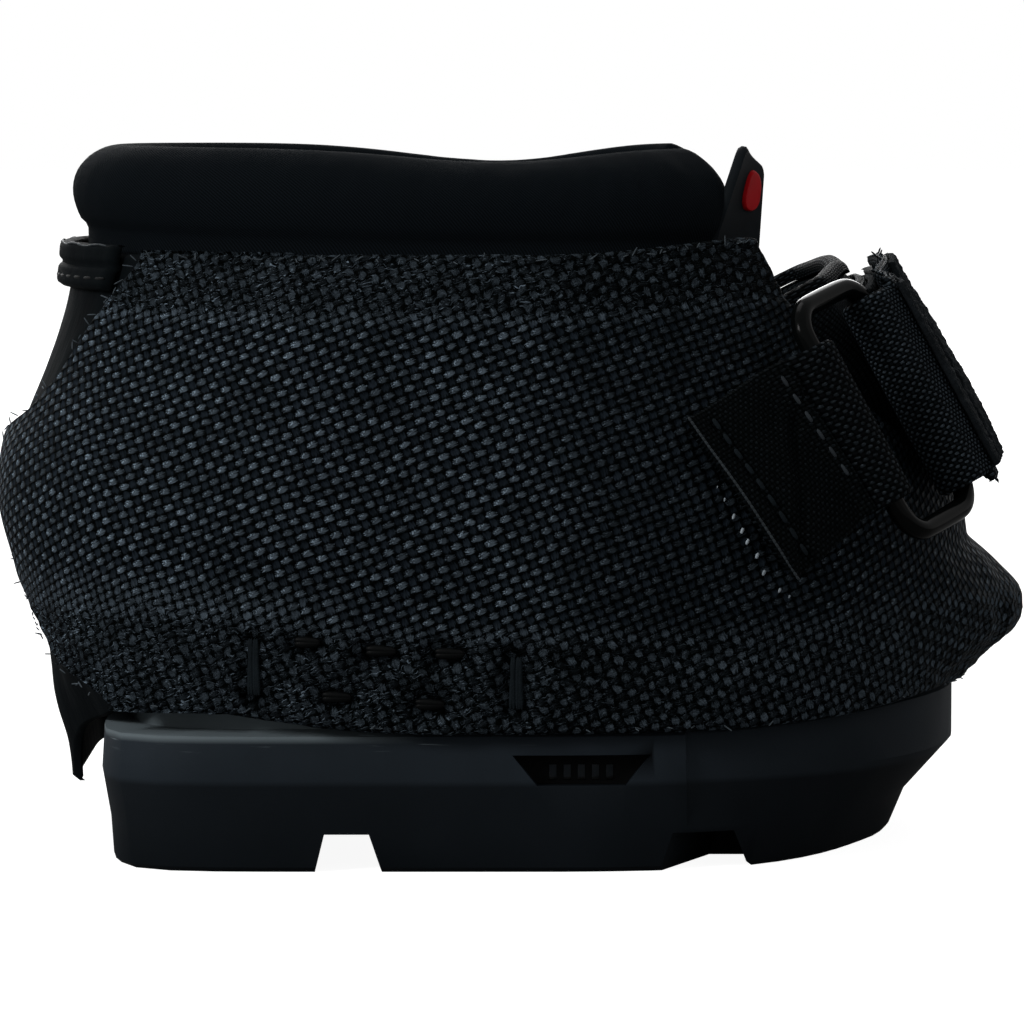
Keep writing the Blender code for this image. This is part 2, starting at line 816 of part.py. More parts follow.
def strap_point(distance, level, fold_level, across):
    """A point of the strap at a distance past the strap bar: level over its floor on the boot, fold_level
    from the bar's middle in the ring's frame, and across from -1 to 1 over its width."""
    width = across * strap_width / 2
    straight = strap_bar + ring_across * distance + ring_up * width + ring_out * fold_level
    middle_turn = strap_turn_at(distance)
    step = math.degrees(overrun / strap_reach_radius)
    sinking = strap_middle(middle_turn - step) - strap_middle(middle_turn + step)
    lean = math.atan2(sinking, 2 * overrun)
    turn = middle_turn + math.degrees(width * math.sin(lean) / strap_reach_radius)
    height = strap_middle(middle_turn) + width * math.cos(lean) * strap_lean_share
    laid = wall_point(turn, height, strap_floor(turn) + level)
    return straight.lerp(laid, eased((distance - fold_reach) / fold_blend))


def strap_across(distance, fold_level):
    """The direction across the strap, from its lower edge to its upper one."""
    low = strap_point(distance, webbing, fold_level, -1)
    high = strap_point(distance, webbing, fold_level, 1)
    return (high - low).normalized()


def strap_layer(name, start, end, level, thickness, fold_level, columns, material, width_share=1.0):
    """A layer of the strap between two distances past the bar."""

    def face(extra):
        def point(u, v):
            distance = mix(start, end, u)
            return strap_point(distance, level + extra, fold_level + extra, mix(-width_share, width_share, v))

        return point

    return sheet(name, columns, 4, face(thickness), face(0.0), material)


hinge_turn = -60.0
hinge_distance = math.radians(bar_turn(strap_bar) - hinge_turn) * strap_reach_radius
pile_level = webbing + gap
hook_level = pile_level + pile_wall + gap
tail_level = hook_level + hook_wall + gap
fuzz_level = tail_level + webbing + gap


def make_strap(webbing_black, pile_cloth, hook_tape, thread):
    """The strap: its base over the instep, the fold round the ring's bar, and the tail lying back on it."""
    low = -fold_radius - webbing
    high = fold_radius
    base = strap_layer(
        "strap_base", fold_reach + hinge_gap, hinge_distance - hinge_gap, 0.0, webbing, low, 26, webbing_black
    )
    pile_start = fold_reach + fold_blend + band_length
    pile = strap_layer(
        "strap_loop_pile",
        pile_start - band_length,
        hinge_distance - anchor_length,
        pile_level,
        pile_wall,
        low + pile_level,
        16,
        pile_cloth,
        0.94,
    )
    steps = 10
    count = steps + 3

    def fold_face(radius):
        def point(u, v):
            k = u * (count - 1)
            if k < 1:
                distance, level = fold_reach * (1 - k), -radius
            elif k > count - 2:
                distance, level = fold_reach * (k - count + 2), radius
            else:
                angle = -math.pi / 2 - math.pi * (k - 1) / (count - 3)
                distance, level = radius * math.cos(angle), radius * math.sin(angle)
            width = mix(-1, 1, v) * strap_width / 2
            return strap_bar + ring_across * distance + ring_up * width + ring_out * level

        return point

    fold = sheet("strap_fold", count - 1, 2, fold_face(fold_radius + webbing), fold_face(fold_radius), webbing_black)
    tail_start = fold_reach + hinge_gap
    tail_end = tail_start + tail_length
    tail = strap_layer(
        "strap_tail", tail_start, tail_end, tail_level, webbing, high, 18, webbing_black, tail_spread
    )
    hook_end = tail_end - hinge_gap
    hook = strap_layer(
        "tail_hook_tape",
        hook_end - hook_length,
        hook_end,
        hook_level,
        hook_wall,
        high - gap - hook_wall,
        10,
        hook_tape,
        0.92 * tail_spread,
    )
    over = high + webbing + gap
    patch_from = tail_start + hinge_gap
    patch_to = tail_start + fuzz_length
    spread = 0.9 * tail_spread
    patch = strap_layer("tail_patch", patch_from, patch_to, fuzz_level, fuzz_wall, over, 6, pile_cloth, spread)
    front_start = tail_start + fuzz_length + band_length
    front_end = front_start + front_pile_length
    spread = 0.96 * tail_spread
    front = strap_layer("tail_pile", front_start, front_end, fuzz_level, fuzz_wall, over, 9, pile_cloth, spread)
    anchor = strap_layer(
        "strap_anchor",
        hinge_distance + hinge_gap,
        hinge_distance + anchor_length,
        0.0,
        webbing,
        low,
        8,
        webbing_black,
    )
    points = []
    ups = []
    box_start = hinge_distance + stitch_margin
    box_end = hinge_distance + anchor_length - stitch_margin
    reach = 1 - 2 * stitch_margin / strap_width
    corners = [(box_start, -reach), (box_end, -reach), (box_end, reach), (box_start, reach)]
    per_side = 10
    for k, (first, second) in enumerate(zip(corners, corners[1:] + corners[:1])):
        for step in range(per_side):
            share = step / per_side
            distance = mix(first[0], second[0], share)
            across = mix(first[1], second[1], share)
            level = webbing + gap + fine_thread / 2 + stitch_crown * abs(math.sin(math.pi * share * per_side / 2))
            points.append(strap_point(distance, level, low, across))
            ups.append(wall_frame(strap_turn_at(distance), strap_middle(strap_turn_at(distance)))[3])
    tube("anchor_stitching", points, ups, fine_thread / 2, 5, thread, closed=True)
    return (base, pile, fold), (tail, hook, patch, front)


tongue_top_turns = (0.0, 15.0, 32.0, 45.0, 56.0)
tongue_top_shares = (1.0, 1.01, 0.99, 0.965, 0.95)


def tongue_top(turn):
    return tongue_height * along(abs(turn), tongue_top_turns, tongue_top_shares)


def tongue_level(turn, height):
    """The tongue's outer face: inside the lining at its edges, proud of the V between the quarters."""
    ramp_turns = 10.0
    edge_set = 4.0
    edge = front_turn_at(height)
    share = eased((edge - edge_set - abs(turn)) / ramp_turns)
    proud = strap_floor(turn) - gap
    if turn > 0:
        proud = min(proud, strap_floor(-turn) - gap)
    return mix(-tongue_set, proud, share)


def make_tongue(fabric, binding):
    """The tongue behind the V, from low in the toe up to its bound top edge."""
    foot_span = 30.0
    edge_lap = 6.0

    def place(u, v):
        height = mix(tongue_base, tongue_height, v)
        span = max(foot_span, front_turn_at(height) + edge_lap)
        turn = mix(-span, span, u)
        return turn, mix(tongue_base, tongue_top(turn), v)

    def outset(turn, height):
        return tongue_level(turn, height)

    def inset(turn, height):
        return tongue_level(turn, height) - tongue_wall

    pad = wall_sheet("tongue_pad", 24, 12, place, outset, inset, fabric, "inner")

    def edge_place(u, v):
        span = front_turn_at(tongue_height) + edge_lap
        turn = mix(-span, span, u)
        return turn, tongue_top(turn) + gap + v * binding_height

    def binding_out(turn, height):
        return tongue_level(turn, tongue_top(turn)) + gap

    def binding_in(turn, height):
        return tongue_level(turn, tongue_top(turn)) - tongue_wall - gap

    edge = wall_sheet("tongue_binding", 24, 2, edge_place, binding_out, binding_in, binding, "inner")
    return pad, edge


def make_sole_stitching(name, side, thread):
    """Thick thread in a long box, through the hem and the cup's upstand."""
    long_stitches = 5
    per_stitch = 3
    corners = [
        (sole_stitch_ahead - sole_stitch_length / 2, sole_stitch_low),
        (sole_stitch_ahead + sole_stitch_length / 2, sole_stitch_low),
        (sole_stitch_ahead + sole_stitch_length / 2, sole_stitch_high),
        (sole_stitch_ahead - sole_stitch_length / 2, sole_stitch_high),
    ]
    points = []
    ups = []
    for k, (first, second) in enumerate(zip(corners, corners[1:] + corners[:1])):
        stitches = long_stitches if k % 2 == 0 else 1
        steps = stitches * per_stitch
        for step in range(steps):
            share = step / steps
            ahead = mix(first[0], second[0], share)
            height = mix(first[1], second[1], share)
            crown = stitch_crown * abs(math.sin(math.pi * share * stitches))
            turn = side * math.degrees(math.atan2(half_width, ahead - sole_ahead))
            points.append(wall_point(turn, height, gap + sole_thread / 2 + crown))
            ups.append(wall_frame(turn, height)[3])
    tube(name, points, ups, sole_thread / 2, 5, thread, closed=True)


def make_tag(rubber, red):
    """A small rubber tag that stands at the near end of the collar, with a plain raised bar."""
    foot = mix(collar_base, upper_height, 1.12)
    low = collar_point(-tag_past_share, cup_layer + gap, foot)
    high = collar_point(-tag_past_share, cup_layer + gap, mix(upper_height, collar_top, 0.8))
    across = collar_point(-tag_past_share, cup_layer + collar_width, foot) - low
    across.z = 0
    across = (across.normalized() - Vector((0, 0, 0.25))).normalized()
    rise = (high - low).normalized()
    rise = (rise - across * across.dot(rise)).normalized()
    forward = across.cross(rise)
    if forward.x < 0:
        forward = -forward
    start = low + forward * (gap * 4)

    def tag_point(a, b, c):
        return start + across * a + rise * b + forward * c

    outline = []
    corners = ((tag_width - tag_corner, 0), (tag_corner, 1))
    outline += [(0.0, 0.0), (tag_width, 0.0)]
    for centre, quarter in corners:
        for k in range(5):
            angle = math.pi / 2 * (quarter + k / 4)
            a = centre + tag_corner * math.cos(angle)
            outline.append((a, tag_height - tag_corner + tag_corner * math.sin(angle)))
    loft("label_tab", [[tag_point(a, b, c) for a, b in outline] for c in (0.0, tag_wall)], rubber, smooth_angle=30)
    bar = []
    middle = (tag_width / 2, tag_height * 0.66)
    for end in (0, 1):
        for k in range(7):
            angle = math.pi * (end + k / 6) - math.pi / 2
            straight = (inlay_length - inlay_width) / 2 * (1 - 2 * end)
            a = middle[0] + straight + inlay_width / 2 * math.cos(angle)
            bar.append((a, middle[1] + inlay_width / 2 * math.sin(angle)))
    face = tag_wall + gap
    loft("label_inlay", [[tag_point(a, b, c) for a, b in bar] for c in (face, face + inlay_wall)], red, smooth_angle=30)


def joint_empty(name, location, pieces):
    """An empty on a joint's axis, which carries the pieces that turn about it."""
    axis = bpy.data.objects.new(name, None)
    axis.location = location
    bpy.context.collection.objects.link(axis)
    bpy.context.view_layer.update()
    for piece in pieces:
        piece.parent = axis
        piece.matrix_parent_inverse = axis.matrix_world.inverted()
    return axis


def build():
    for item in list(bpy.data.objects):
        bpy.data.objects.remove(item, do_unlink=True)
    rubber = principled("moulded sole rubber", (0.012, 0.014, 0.017), 0.55)
    nylon_cloth = principled("ballistic nylon", (0.010, 0.012, 0.016), 0.5)
    lining_cloth = principled("foam-backed lining", (0.012, 0.013, 0.015), 0.8)
    leather = principled("smooth heel leather", (0.018, 0.019, 0.021), 0.45)
    knit = principled("collar knit", (0.010, 0.011, 0.014), 0.85)
    foam = principled("collar foam", (0.05, 0.05, 0.05), 0.9)
    webbing_black = principled("strap webbing", (0.008, 0.009, 0.011), 0.6)
    pile_cloth = principled("loop pile", (0.007, 0.007, 0.009), 0.95)
    hook_tape = principled("hook tape", (0.010, 0.010, 0.012), 0.6)
    tongue_cloth = principled("tongue fabric", (0.008, 0.009, 0.011), 0.7)
    thread = principled("bonded thread", (0.006, 0.006, 0.008), 0.5)
    metal = principled("black coated wire", (0.02, 0.02, 0.022), 0.3, 0.8)
    tag_rubber = principled("tag rubber", (0.03, 0.032, 0.036), 0.5)
    red = principled("red rubber", (0.35, 0.01, 0.012), 0.5)

    make_outsole(rubber)
    make_quarter("near_quarter", 1, nylon_cloth)
    make_quarter("far_quarter", -1, nylon_cloth)
    make_lining("near_lining", 1, lining_cloth)
    make_lining("far_lining", -1, lining_cloth)
    make_heel_panel(leather)
    make_heel_lip(leather)
    make_collar(knit, foam)
    make_sole_stitching("near_sole_stitching", 1, thread)
    make_sole_stitching("far_sole_stitching", -1, thread)
    make_tag(tag_rubber, red)
    make_tab(webbing_black, nylon_cloth, thread)
    ring = make_ring(metal)
    strap, tail = make_strap(webbing_black, pile_cloth, hook_tape, thread)
    tongue = make_tongue(tongue_cloth, webbing_black)

    hinge = strap_point(hinge_distance, webbing, 0.0, 0.0)
    joint_empty("strap_open_axis", hinge, strap)
    peel = strap_bar + ring_across * fold_reach + ring_out * (fold_radius + webbing)
    joint_empty("strap_peel_axis", peel, tail)
    joint_empty("ring_swing_axis", tab_bar, [ring])
    foot = wall_point(0, tongue_base, -tongue_set - tongue_wall / 2, "inner")
    joint_empty("tongue_fold_axis", foot, tongue)
    hinge_up = strap_across(hinge_distance, 0.0)
    print("strap_open", [round(value, 5) for value in (*hinge, *hinge_up)])
    print("strap_peel", [round(value, 5) for value in (*peel, *ring_up)])
    print("ring_swing", [round(value, 5) for value in (*tab_bar, *ring_up)])
    print("tongue_fold", [round(value, 5) for value in foot])


build()
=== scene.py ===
import math
import bpy
import numpy as np
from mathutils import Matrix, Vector, noise


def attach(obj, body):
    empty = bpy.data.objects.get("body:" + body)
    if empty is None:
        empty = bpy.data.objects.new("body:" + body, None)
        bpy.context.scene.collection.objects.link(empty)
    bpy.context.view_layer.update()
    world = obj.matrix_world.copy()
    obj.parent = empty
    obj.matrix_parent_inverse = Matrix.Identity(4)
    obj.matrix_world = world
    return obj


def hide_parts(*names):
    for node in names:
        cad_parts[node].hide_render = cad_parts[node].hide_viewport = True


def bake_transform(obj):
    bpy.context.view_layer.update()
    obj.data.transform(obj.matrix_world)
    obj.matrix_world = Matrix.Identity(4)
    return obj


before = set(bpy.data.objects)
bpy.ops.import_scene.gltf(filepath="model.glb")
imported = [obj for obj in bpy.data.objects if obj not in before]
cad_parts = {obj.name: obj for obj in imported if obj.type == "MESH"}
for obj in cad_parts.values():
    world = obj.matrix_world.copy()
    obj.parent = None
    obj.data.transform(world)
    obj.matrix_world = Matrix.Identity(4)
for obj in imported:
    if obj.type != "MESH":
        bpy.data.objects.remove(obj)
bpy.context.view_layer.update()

print("frame loaded")


# the boot's surface, in metres: every layer of the upper lies on it, in or out by its own level
bootForm = {
    "middle": 0.00325,
    "halfLength": 0.0693,
    "halfWidth": 0.065,
    "upperHeight": 0.0968,
    "heelReach": 0.0218,
    "toeReach": 0.0093,
    "bulgeLow": 0.0245,
    "bulgeHigh": 0.0485,
    "bulgePower": 1.3,
    "bulgeTurn": 24.0,
    "heights": (0.155, 0.217, 0.258, 0.362, 0.465, 0.568, 0.671, 0.806, 0.909, 1.002, 1.167),
    "toe": (1.004, 1.009, 1.015, 1.032, 1.036, 1.017, 0.955, 0.848, 0.760, 0.698, 0.610),
    "heel": (0.50, 0.53, 0.555, 0.62, 0.745, 0.885, 0.85, 0.625, 0.48, 0.43, 0.415),
    "width": (1.015, 1.031, 1.046, 1.062, 1.062, 1.043, 1.000, 0.938, 0.892, 0.846, 0.769),
    "square": (4.2, 4.2, 4.0, 3.6, 3.2, 2.9, 2.7, 2.5, 2.4, 2.3, 2.3),
    "toePower": 2.3,
    "ledge": 0.0215,
    "toeRise": 0.0029,
    "heelRise": 0.0030,
    "frontRise": 0.0027,
    "nylon": 0.0016,
    "innerLayer": 0.0024,
    "cupLayer": 0.0045,
    "gap": 0.0003,
}
gap, upperHeight, halfWidth, bootMiddle, innerLayer, cupLayer = [
    bootForm[key] for key in ("gap", "upperHeight", "halfWidth", "middle", "innerLayer", "cupLayer")
]
quarterEdges = {
    "shares": (0.0, 0.36, 0.452, 0.548, 0.644, 0.753, 0.89, 1.0),
    "front": (0.0, 0.0, 14.0, 27.0, 36.0, 42.0, 45.5, 48.5),
    "rearShares": (0.0, 0.1, 0.26, 0.35, 0.5, 0.57, 0.65, 0.84, 1.0),
    "rear": (139.5, 149.5, 163.0, 180.0, 180.0, 172.0, 161.5, 155.0, 150.0),
}


def eased(share):
    share = np.clip(share, 0, 1)
    return share * share * (3 - 2 * share)


def mixed(first, second, share):
    return first + (second - first) * share


def bell(distance, width):
    return np.exp(-((distance / width) ** 2))


def flatPlace(across, up):  # a place on flat cloth, for noise
    return np.stack((across, up, np.zeros_like(up)), -1)


def smoothCurve(at, places, values):  # level beyond the first and last places
    places = np.array(places, float)
    values = np.array(values, float)
    at = np.asarray(at, float)
    slopes = np.zeros(len(places))
    slopes[1:-1] = (values[2:] - values[:-2]) / (places[2:] - places[:-2])
    k = np.clip(np.searchsorted(places, at, side="right") - 1, 0, len(places) - 2)
    span = places[k + 1] - places[k]
    s = np.clip((at - places[k]) / span, 0, 1)
    rise = values[k + 1] - values[k]
    bend = s * (1 - s) * span * (slopes[k] * (1 - s) - slopes[k + 1] * s)
    return values[k] + rise * s * s * (3 - 2 * s) + bend


def aroundToe(turn):
    return (turn + 180) % 360 - 180


def bootBare(turn, height, kind):  # turn in degrees: 0 at the toe, 90 on the near side, 180 at the heel
    share = height / upperHeight

    def curve(key):
        return smoothCurve(share, bootForm["heights"], bootForm[key])

    toe = bootForm["halfLength"] * curve("toe")
    half = halfWidth * curve("width")
    square = curve("square")
    heel = bootForm["halfLength"] + bootForm["heelReach"] * curve("heel")
    angle = np.radians(turn)
    ahead = np.cos(angle)
    reach = np.where(ahead >= 0, toe, heel)
    power = np.where(ahead >= 0, bootForm["toePower"], square)
    radius = (np.abs(ahead / reach) ** power + np.abs(np.sin(angle) / half) ** power) ** (-1 / power)
    if kind == "outer":
        low, high = bootForm["bulgeLow"], bootForm["bulgeHigh"]
        rise = np.sin(np.pi * np.clip((height - low) / (high - low), 0, 1)) ** bootForm["bulgePower"]
        radius = radius + bootForm["toeReach"] * rise * bell(aroundToe(turn), bootForm["bulgeTurn"])
    return np.stack((bootMiddle + radius * ahead, -radius * np.sin(angle), height), -1)


def unit(vectors):
    return vectors / np.linalg.norm(vectors, axis=-1, keepdims=True)


def bootFrame(turn, height, kind="outer"):
    turn, height = np.broadcast_arrays(np.asarray(turn, float), np.asarray(height, float))
    reach = 0.0005
    step = math.degrees(reach / halfWidth)
    onward = unit(bootBare(turn + step, height, kind) - bootBare(turn - step, height, kind))
    up = unit(bootBare(turn, height + reach, kind) - bootBare(turn, height - reach, kind))
    return bootBare(turn, height, kind), onward, up, unit(np.cross(up, onward))


def bootPoint(turn, height, outset, kind="outer"):
    point, onward, up, outward = bootFrame(turn, height, kind)
    return point + outward * np.asarray(outset, float)[..., None]


def toeShare(turn):
    return 1 - eased((np.abs(aroundToe(turn)) - 25) / 45)


def hemHeight(turn):
    around = np.abs(aroundToe(turn))
    ledge = bootForm["ledge"] + bootForm["toeRise"] * toeShare(turn)
    loose = 0.0011 * bell(around - 127, 6.5)
    return ledge + gap + bootForm["heelRise"] * eased((around - 105) / 35) + loose


def topHeight(turn):
    around = np.abs(aroundToe(turn))
    return upperHeight + bootForm["frontRise"] * (1 - eased((around - 45) / 45)) - gap


def frontTurn(height):
    share = (height - hemHeight(0.0)) / (topHeight(0.0) - hemHeight(0.0))
    return smoothCurve(share, quarterEdges["shares"], quarterEdges["front"])


def speckle(points, scale, seed=0.0):  # smooth noise from -1 to 1, scale in bumps to the metre
    shift = Vector((seed, seed * 1.7, seed * 0.3))
    return np.array([noise.noise(Vector(p) * scale + shift) for p in points])


# real distances along the cloth, so that the weave keeps its size: along from the side's middle, and up
clothTurns = np.linspace(0, 180, 181)
clothHeights = np.linspace(0.010, 0.118, 109)
gridTurns, gridHeights = np.meshgrid(clothTurns, clothHeights, indexing="ij")
clothGrid = bootBare(gridTurns.ravel(), gridHeights.ravel(), "outer").reshape(181, 109, 3)
alongCloth = np.zeros((181, 109))
alongCloth[1:] = np.cumsum(np.linalg.norm(np.diff(clothGrid, axis=0), axis=2), axis=0)
alongCloth -= alongCloth[90]
upCloth = np.zeros((181, 109))
upCloth[:, 1:] = np.cumsum(np.linalg.norm(np.diff(clothGrid, axis=1), axis=2), axis=1)
upCloth -= upCloth[:, 40:41]


def clothDistance(turn, height):
    around = np.clip(np.abs(aroundToe(turn)), 0, 179.99)
    level = np.clip((height - 0.010) * 1000, 0, 107.99)
    i = around.astype(int)
    j = level.astype(int)
    a = around - i
    b = level - j
    found = []
    for table in (alongCloth, upCloth):
        near = table[i, j] * (1 - b) + table[i, j + 1] * b
        far = table[i + 1, j] * (1 - b) + table[i + 1, j + 1] * b
        found.append(near * (1 - a) + far * a)
    return found[0], found[1]


def hexColour(code):  # sRGB hex to linear
    channels = [int(code[k:k + 2], 16) / 255 for k in (1, 3, 5)]
    linear = [c / 12.92 if c <= 0.04045 else ((c + 0.055) / 1.055) ** 2.4 for c in channels]
    return (*linear, 1)


def addNode(tree, kind, settings=None, links=None):
    node = tree.nodes.new(kind)
    for key, value in (settings or {}).items():
        if isinstance(key, str) and hasattr(node, key):
            setattr(node, key, value)
        else:
            node.inputs[key].default_value = value
    for key, source in (links or {}).items():
        tree.links.new(source, node.inputs[key])
    return node


def newMaterial(name):
    material = bpy.data.materials.new(name)
    material.use_nodes = True
    tree = material.node_tree
    return material, tree, tree.nodes["Principled BSDF"]


def deselectAll():
    if bpy.context.mode != "OBJECT":
        bpy.ops.object.mode_set(mode="OBJECT")
    bpy.ops.object.select_all(action="DESELECT")


def activate(piece):
    deselectAll()
    piece.select_set(True)
    bpy.context.view_layer.objects.active = piece


def applyModifier(piece, kind, settings):
    activate(piece)
    bpy.ops.object.modifier_add(type=kind)
    modifier = piece.modifiers[-1]
    for key, value in settings.items():
        setattr(modifier, key, value)
    bpy.ops.object.modifier_apply(modifier=modifier.name)


def meshPoints(piece):
    points = np.zeros(len(piece.data.vertices) * 3)
    piece.data.vertices.foreach_get("co", points)
    return points.reshape(-1, 3)


def setPoints(piece, points):
    piece.data.vertices.foreach_set("co", np.asarray(points, float).ravel())
    piece.data.update()


def shadeByAngle(piece, degrees):
    activate(piece)
    bpy.ops.object.shade_smooth_by_angle(angle=math.radians(degrees))


def facesOutward(piece):
    activate(piece)
    bpy.ops.object.mode_set(mode="EDIT")
    bpy.ops.mesh.select_all(action="SELECT")
    bpy.ops.mesh.normals_make_consistent(inside=False)
    bpy.ops.object.mode_set(mode="OBJECT")


def setMap(piece, across, up, count):  # one map for cloth patterns, in millimetres
    layer = piece.data.uv_layers.get("cloth") or piece.data.uv_layers.new(name="cloth")
    corners = np.zeros(len(piece.data.loops), int)
    piece.data.loops.foreach_get("vertex_index", corners)
    corners = corners % count
    layer.data.foreach_set("uv", np.stack((across[corners], up[corners]), -1).ravel() * 1000)
    piece.data.uv_layers.active = layer


def setAttribute(piece, name, values):
    attribute = piece.data.attributes.get(name) or piece.data.attributes.new(name, "FLOAT", "POINT")
    attribute.data.foreach_set("value", np.asarray(values, np.float32))


def sewnSheet(name, size, outer, inner, lie, material, pinch=None, smooth=50, shade=None):
    # a grid laid on outer(u, v), given a back on inner(u, v); lie(u, v) is where it was on the flat cloth
    deselectAll()
    bpy.ops.mesh.primitive_grid_add(x_subdivisions=size[0], y_subdivisions=size[1], size=1)
    piece = bpy.context.active_object
    piece.name = name
    piece.data.name = name
    flat = meshPoints(piece)
    u = flat[:, 0] + 0.5
    v = flat[:, 1] + 0.5
    front = outer(u, v)
    back = inner(u, v)
    setPoints(piece, front)
    applyModifier(piece, "SOLIDIFY", {"thickness": 0.001})
    setPoints(piece, np.concatenate((front, back)))
    facesOutward(piece)
    piece.data.uv_layers.remove(piece.data.uv_layers[0])
    across, up = lie(u, v)
    setMap(piece, across, up, len(u))
    if pinch is not None:
        setAttribute(piece, "pinch", np.tile(pinch(u, v), 2))
    if shade is not None:
        setAttribute(piece, "shade", np.tile(shade(u, v), 2))
    piece.data.materials.append(material)
    shadeByAngle(piece, smooth)
    return piece


def copiedNode(name, node, material, rounds=1, smooth=40):  # a CAD node's copy, merged and made finer
    deselectAll()
    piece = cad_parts[node].copy()
    piece.data = piece.data.copy()
    piece.name = name
    piece.data.name = name
    for key in list(piece.keys()):
        del piece[key]
    bpy.context.collection.objects.link(piece)
    piece.parent = None
    activate(piece)
    bpy.ops.object.mode_set(mode="EDIT")
    bpy.ops.mesh.select_all(action="SELECT")
    bpy.ops.mesh.remove_doubles(threshold=0.00001)
    bpy.ops.mesh.tris_convert_to_quads(face_threshold=math.radians(40), shape_threshold=math.radians(40))
    bpy.ops.object.mode_set(mode="OBJECT")
    if rounds:
        applyModifier(piece, "SUBSURF", {"levels": rounds, "render_levels": rounds})
    piece.data.materials.clear()
    piece.data.materials.append(material)
    shadeByAngle(piece, smooth)
    return piece


def settled(piece, body, slot, *nodes):
    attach(piece, body)
    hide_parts(*nodes)
    return piece


# rubber of the sole: natural and synthetic rubber, compression moulded, dull with a faint bloom; its colour
# carries painted shade low on the wall, toward the toe and in the drain slot, and painted light on the
# ledge's top
def mouldedRubber():
    material, tree, shader = newMaterial("moulded sole rubber")
    place = addNode(tree, "ShaderNodeTexCoord").outputs["Object"]
    cloud = addNode(tree, "ShaderNodeTexNoise", {"Scale": 60.0, "Detail": 5.0}, {"Vector": place})
    grit = addNode(tree, "ShaderNodeTexNoise", {"Scale": 2600.0, "Detail": 2.0}, {"Vector": place})
    tone = addNode(tree, "ShaderNodeMix", {"data_type": "RGBA"}, {0: cloud.outputs["Fac"]})
    tone.inputs[6].default_value = hexColour("#171c20")
    tone.inputs[7].default_value = hexColour("#22282e")
    parts = addNode(tree, "ShaderNodeSeparateXYZ", None, {0: place})
    # painted shade: the wall's lower band, which faces down, is made darker
    low = addNode(tree, "ShaderNodeMapRange", {1: 0.0136, 2: 0.0146, 3: 0.42, 4: 1.0}, {0: parts.outputs[2]})
    # painted shade: darker toward the toe
    ahead = addNode(tree, "ShaderNodeMapRange", {1: 0.012, 2: 0.062, 3: 1.0, 4: 0.6}, {0: parts.outputs[0]})
    # painted shade inside the drain slot, read from a vertex attribute
    slotShadeFactor = addNode(tree, "ShaderNodeAttribute", {"attribute_name": "slotShade"})
    clear = addNode(tree, "ShaderNodeMath", {"operation": "SUBTRACT", 0: 1.0}, {1: slotShadeFactor.outputs["Fac"]})
    level = addNode(tree, "ShaderNodeMath", {"operation": "MULTIPLY"},
                    {0: low.outputs[0], 1: ahead.outputs[0]})
    level = addNode(tree, "ShaderNodeMath", {"operation": "MULTIPLY"},
                    {0: level.outputs[0], 1: clear.outputs[0]})
    # the rubber's tone, darkened by these painted shades
    paintedShadeTone = addNode(tree, "ShaderNodeVectorMath", {"operation": "SCALE"},
                    {0: tone.outputs[2], 3: level.outputs[0]})
    # pale rub marks along the ledge
    long = addNode(tree, "ShaderNodeMapping", {"Scale": (110.0, 110.0, 2200.0)}, {"Vector": place}).outputs[0]
    rubs = addNode(tree, "ShaderNodeTexNoise", {"Scale": 1.0, "Detail": 4.0}, {"Vector": long})
    rubs = addNode(tree, "ShaderNodeMapRange", {1: 0.62, 2: 0.76}, {0: rubs.outputs["Fac"]})
    high = addNode(tree, "ShaderNodeMapRange", {1: 0.0185, 2: 0.0205}, {0: parts.outputs[2]})
    behind = addNode(tree, "ShaderNodeMapRange", {1: 0.008, 2: -0.012}, {0: parts.outputs[0]})
    rubsAndLitTop = addNode(tree, "ShaderNodeMath", {"operation": "MULTIPLY"},
                    {0: rubs.outputs[0], 1: high.outputs[0]})
    rubsAndLitTop = addNode(tree, "ShaderNodeMath", {"operation": "MULTIPLY"},
                    {0: rubsAndLitTop.outputs[0], 1: behind.outputs[0]})
    # painted light: the ledge's top is made pale toward the heel, as if catching the light
    top = addNode(tree, "ShaderNodeMapRange", {1: 0.0203, 2: 0.0212, 3: 0.0, 4: 0.85}, {0: parts.outputs[2]})
    far = addNode(tree, "ShaderNodeMapRange", {1: -0.014, 2: -0.032}, {0: parts.outputs[0]})
    litLedgeTop = addNode(tree, "ShaderNodeMath", {"operation": "MULTIPLY"}, {0: top.outputs[0], 1: far.outputs[0]})
    # rub marks together with the painted light on the ledge's top
    rubsAndLitTop = addNode(tree, "ShaderNodeMath", {"operation": "MAXIMUM"},
                    {0: rubsAndLitTop.outputs[0], 1: litLedgeTop.outputs[0]})
    rubbedAndLitTone = addNode(tree, "ShaderNodeMix", {"data_type": "RGBA"}, {0: rubsAndLitTop.outputs[0], 6: paintedShadeTone.outputs[0]})
    rubbedAndLitTone.inputs[7].default_value = hexColour("#5b6468")
    rough = addNode(tree, "ShaderNodeMapRange", {3: 0.5, 4: 0.68}, {0: cloud.outputs["Fac"]})
    bump = addNode(tree, "ShaderNodeBump", {"Strength": 0.35, "Distance": 0.00006},
                   {"Height": grit.outputs["Fac"]})
    tree.links.new(rubbedAndLitTone.outputs[2], shader.inputs["Base Color"])
    tree.links.new(rough.outputs[0], shader.inputs["Roughness"])
    tree.links.new(bump.outputs["Normal"], shader.inputs["Normal"])
    shader.inputs["Specular IOR Level"].default_value = 0.03
    return material
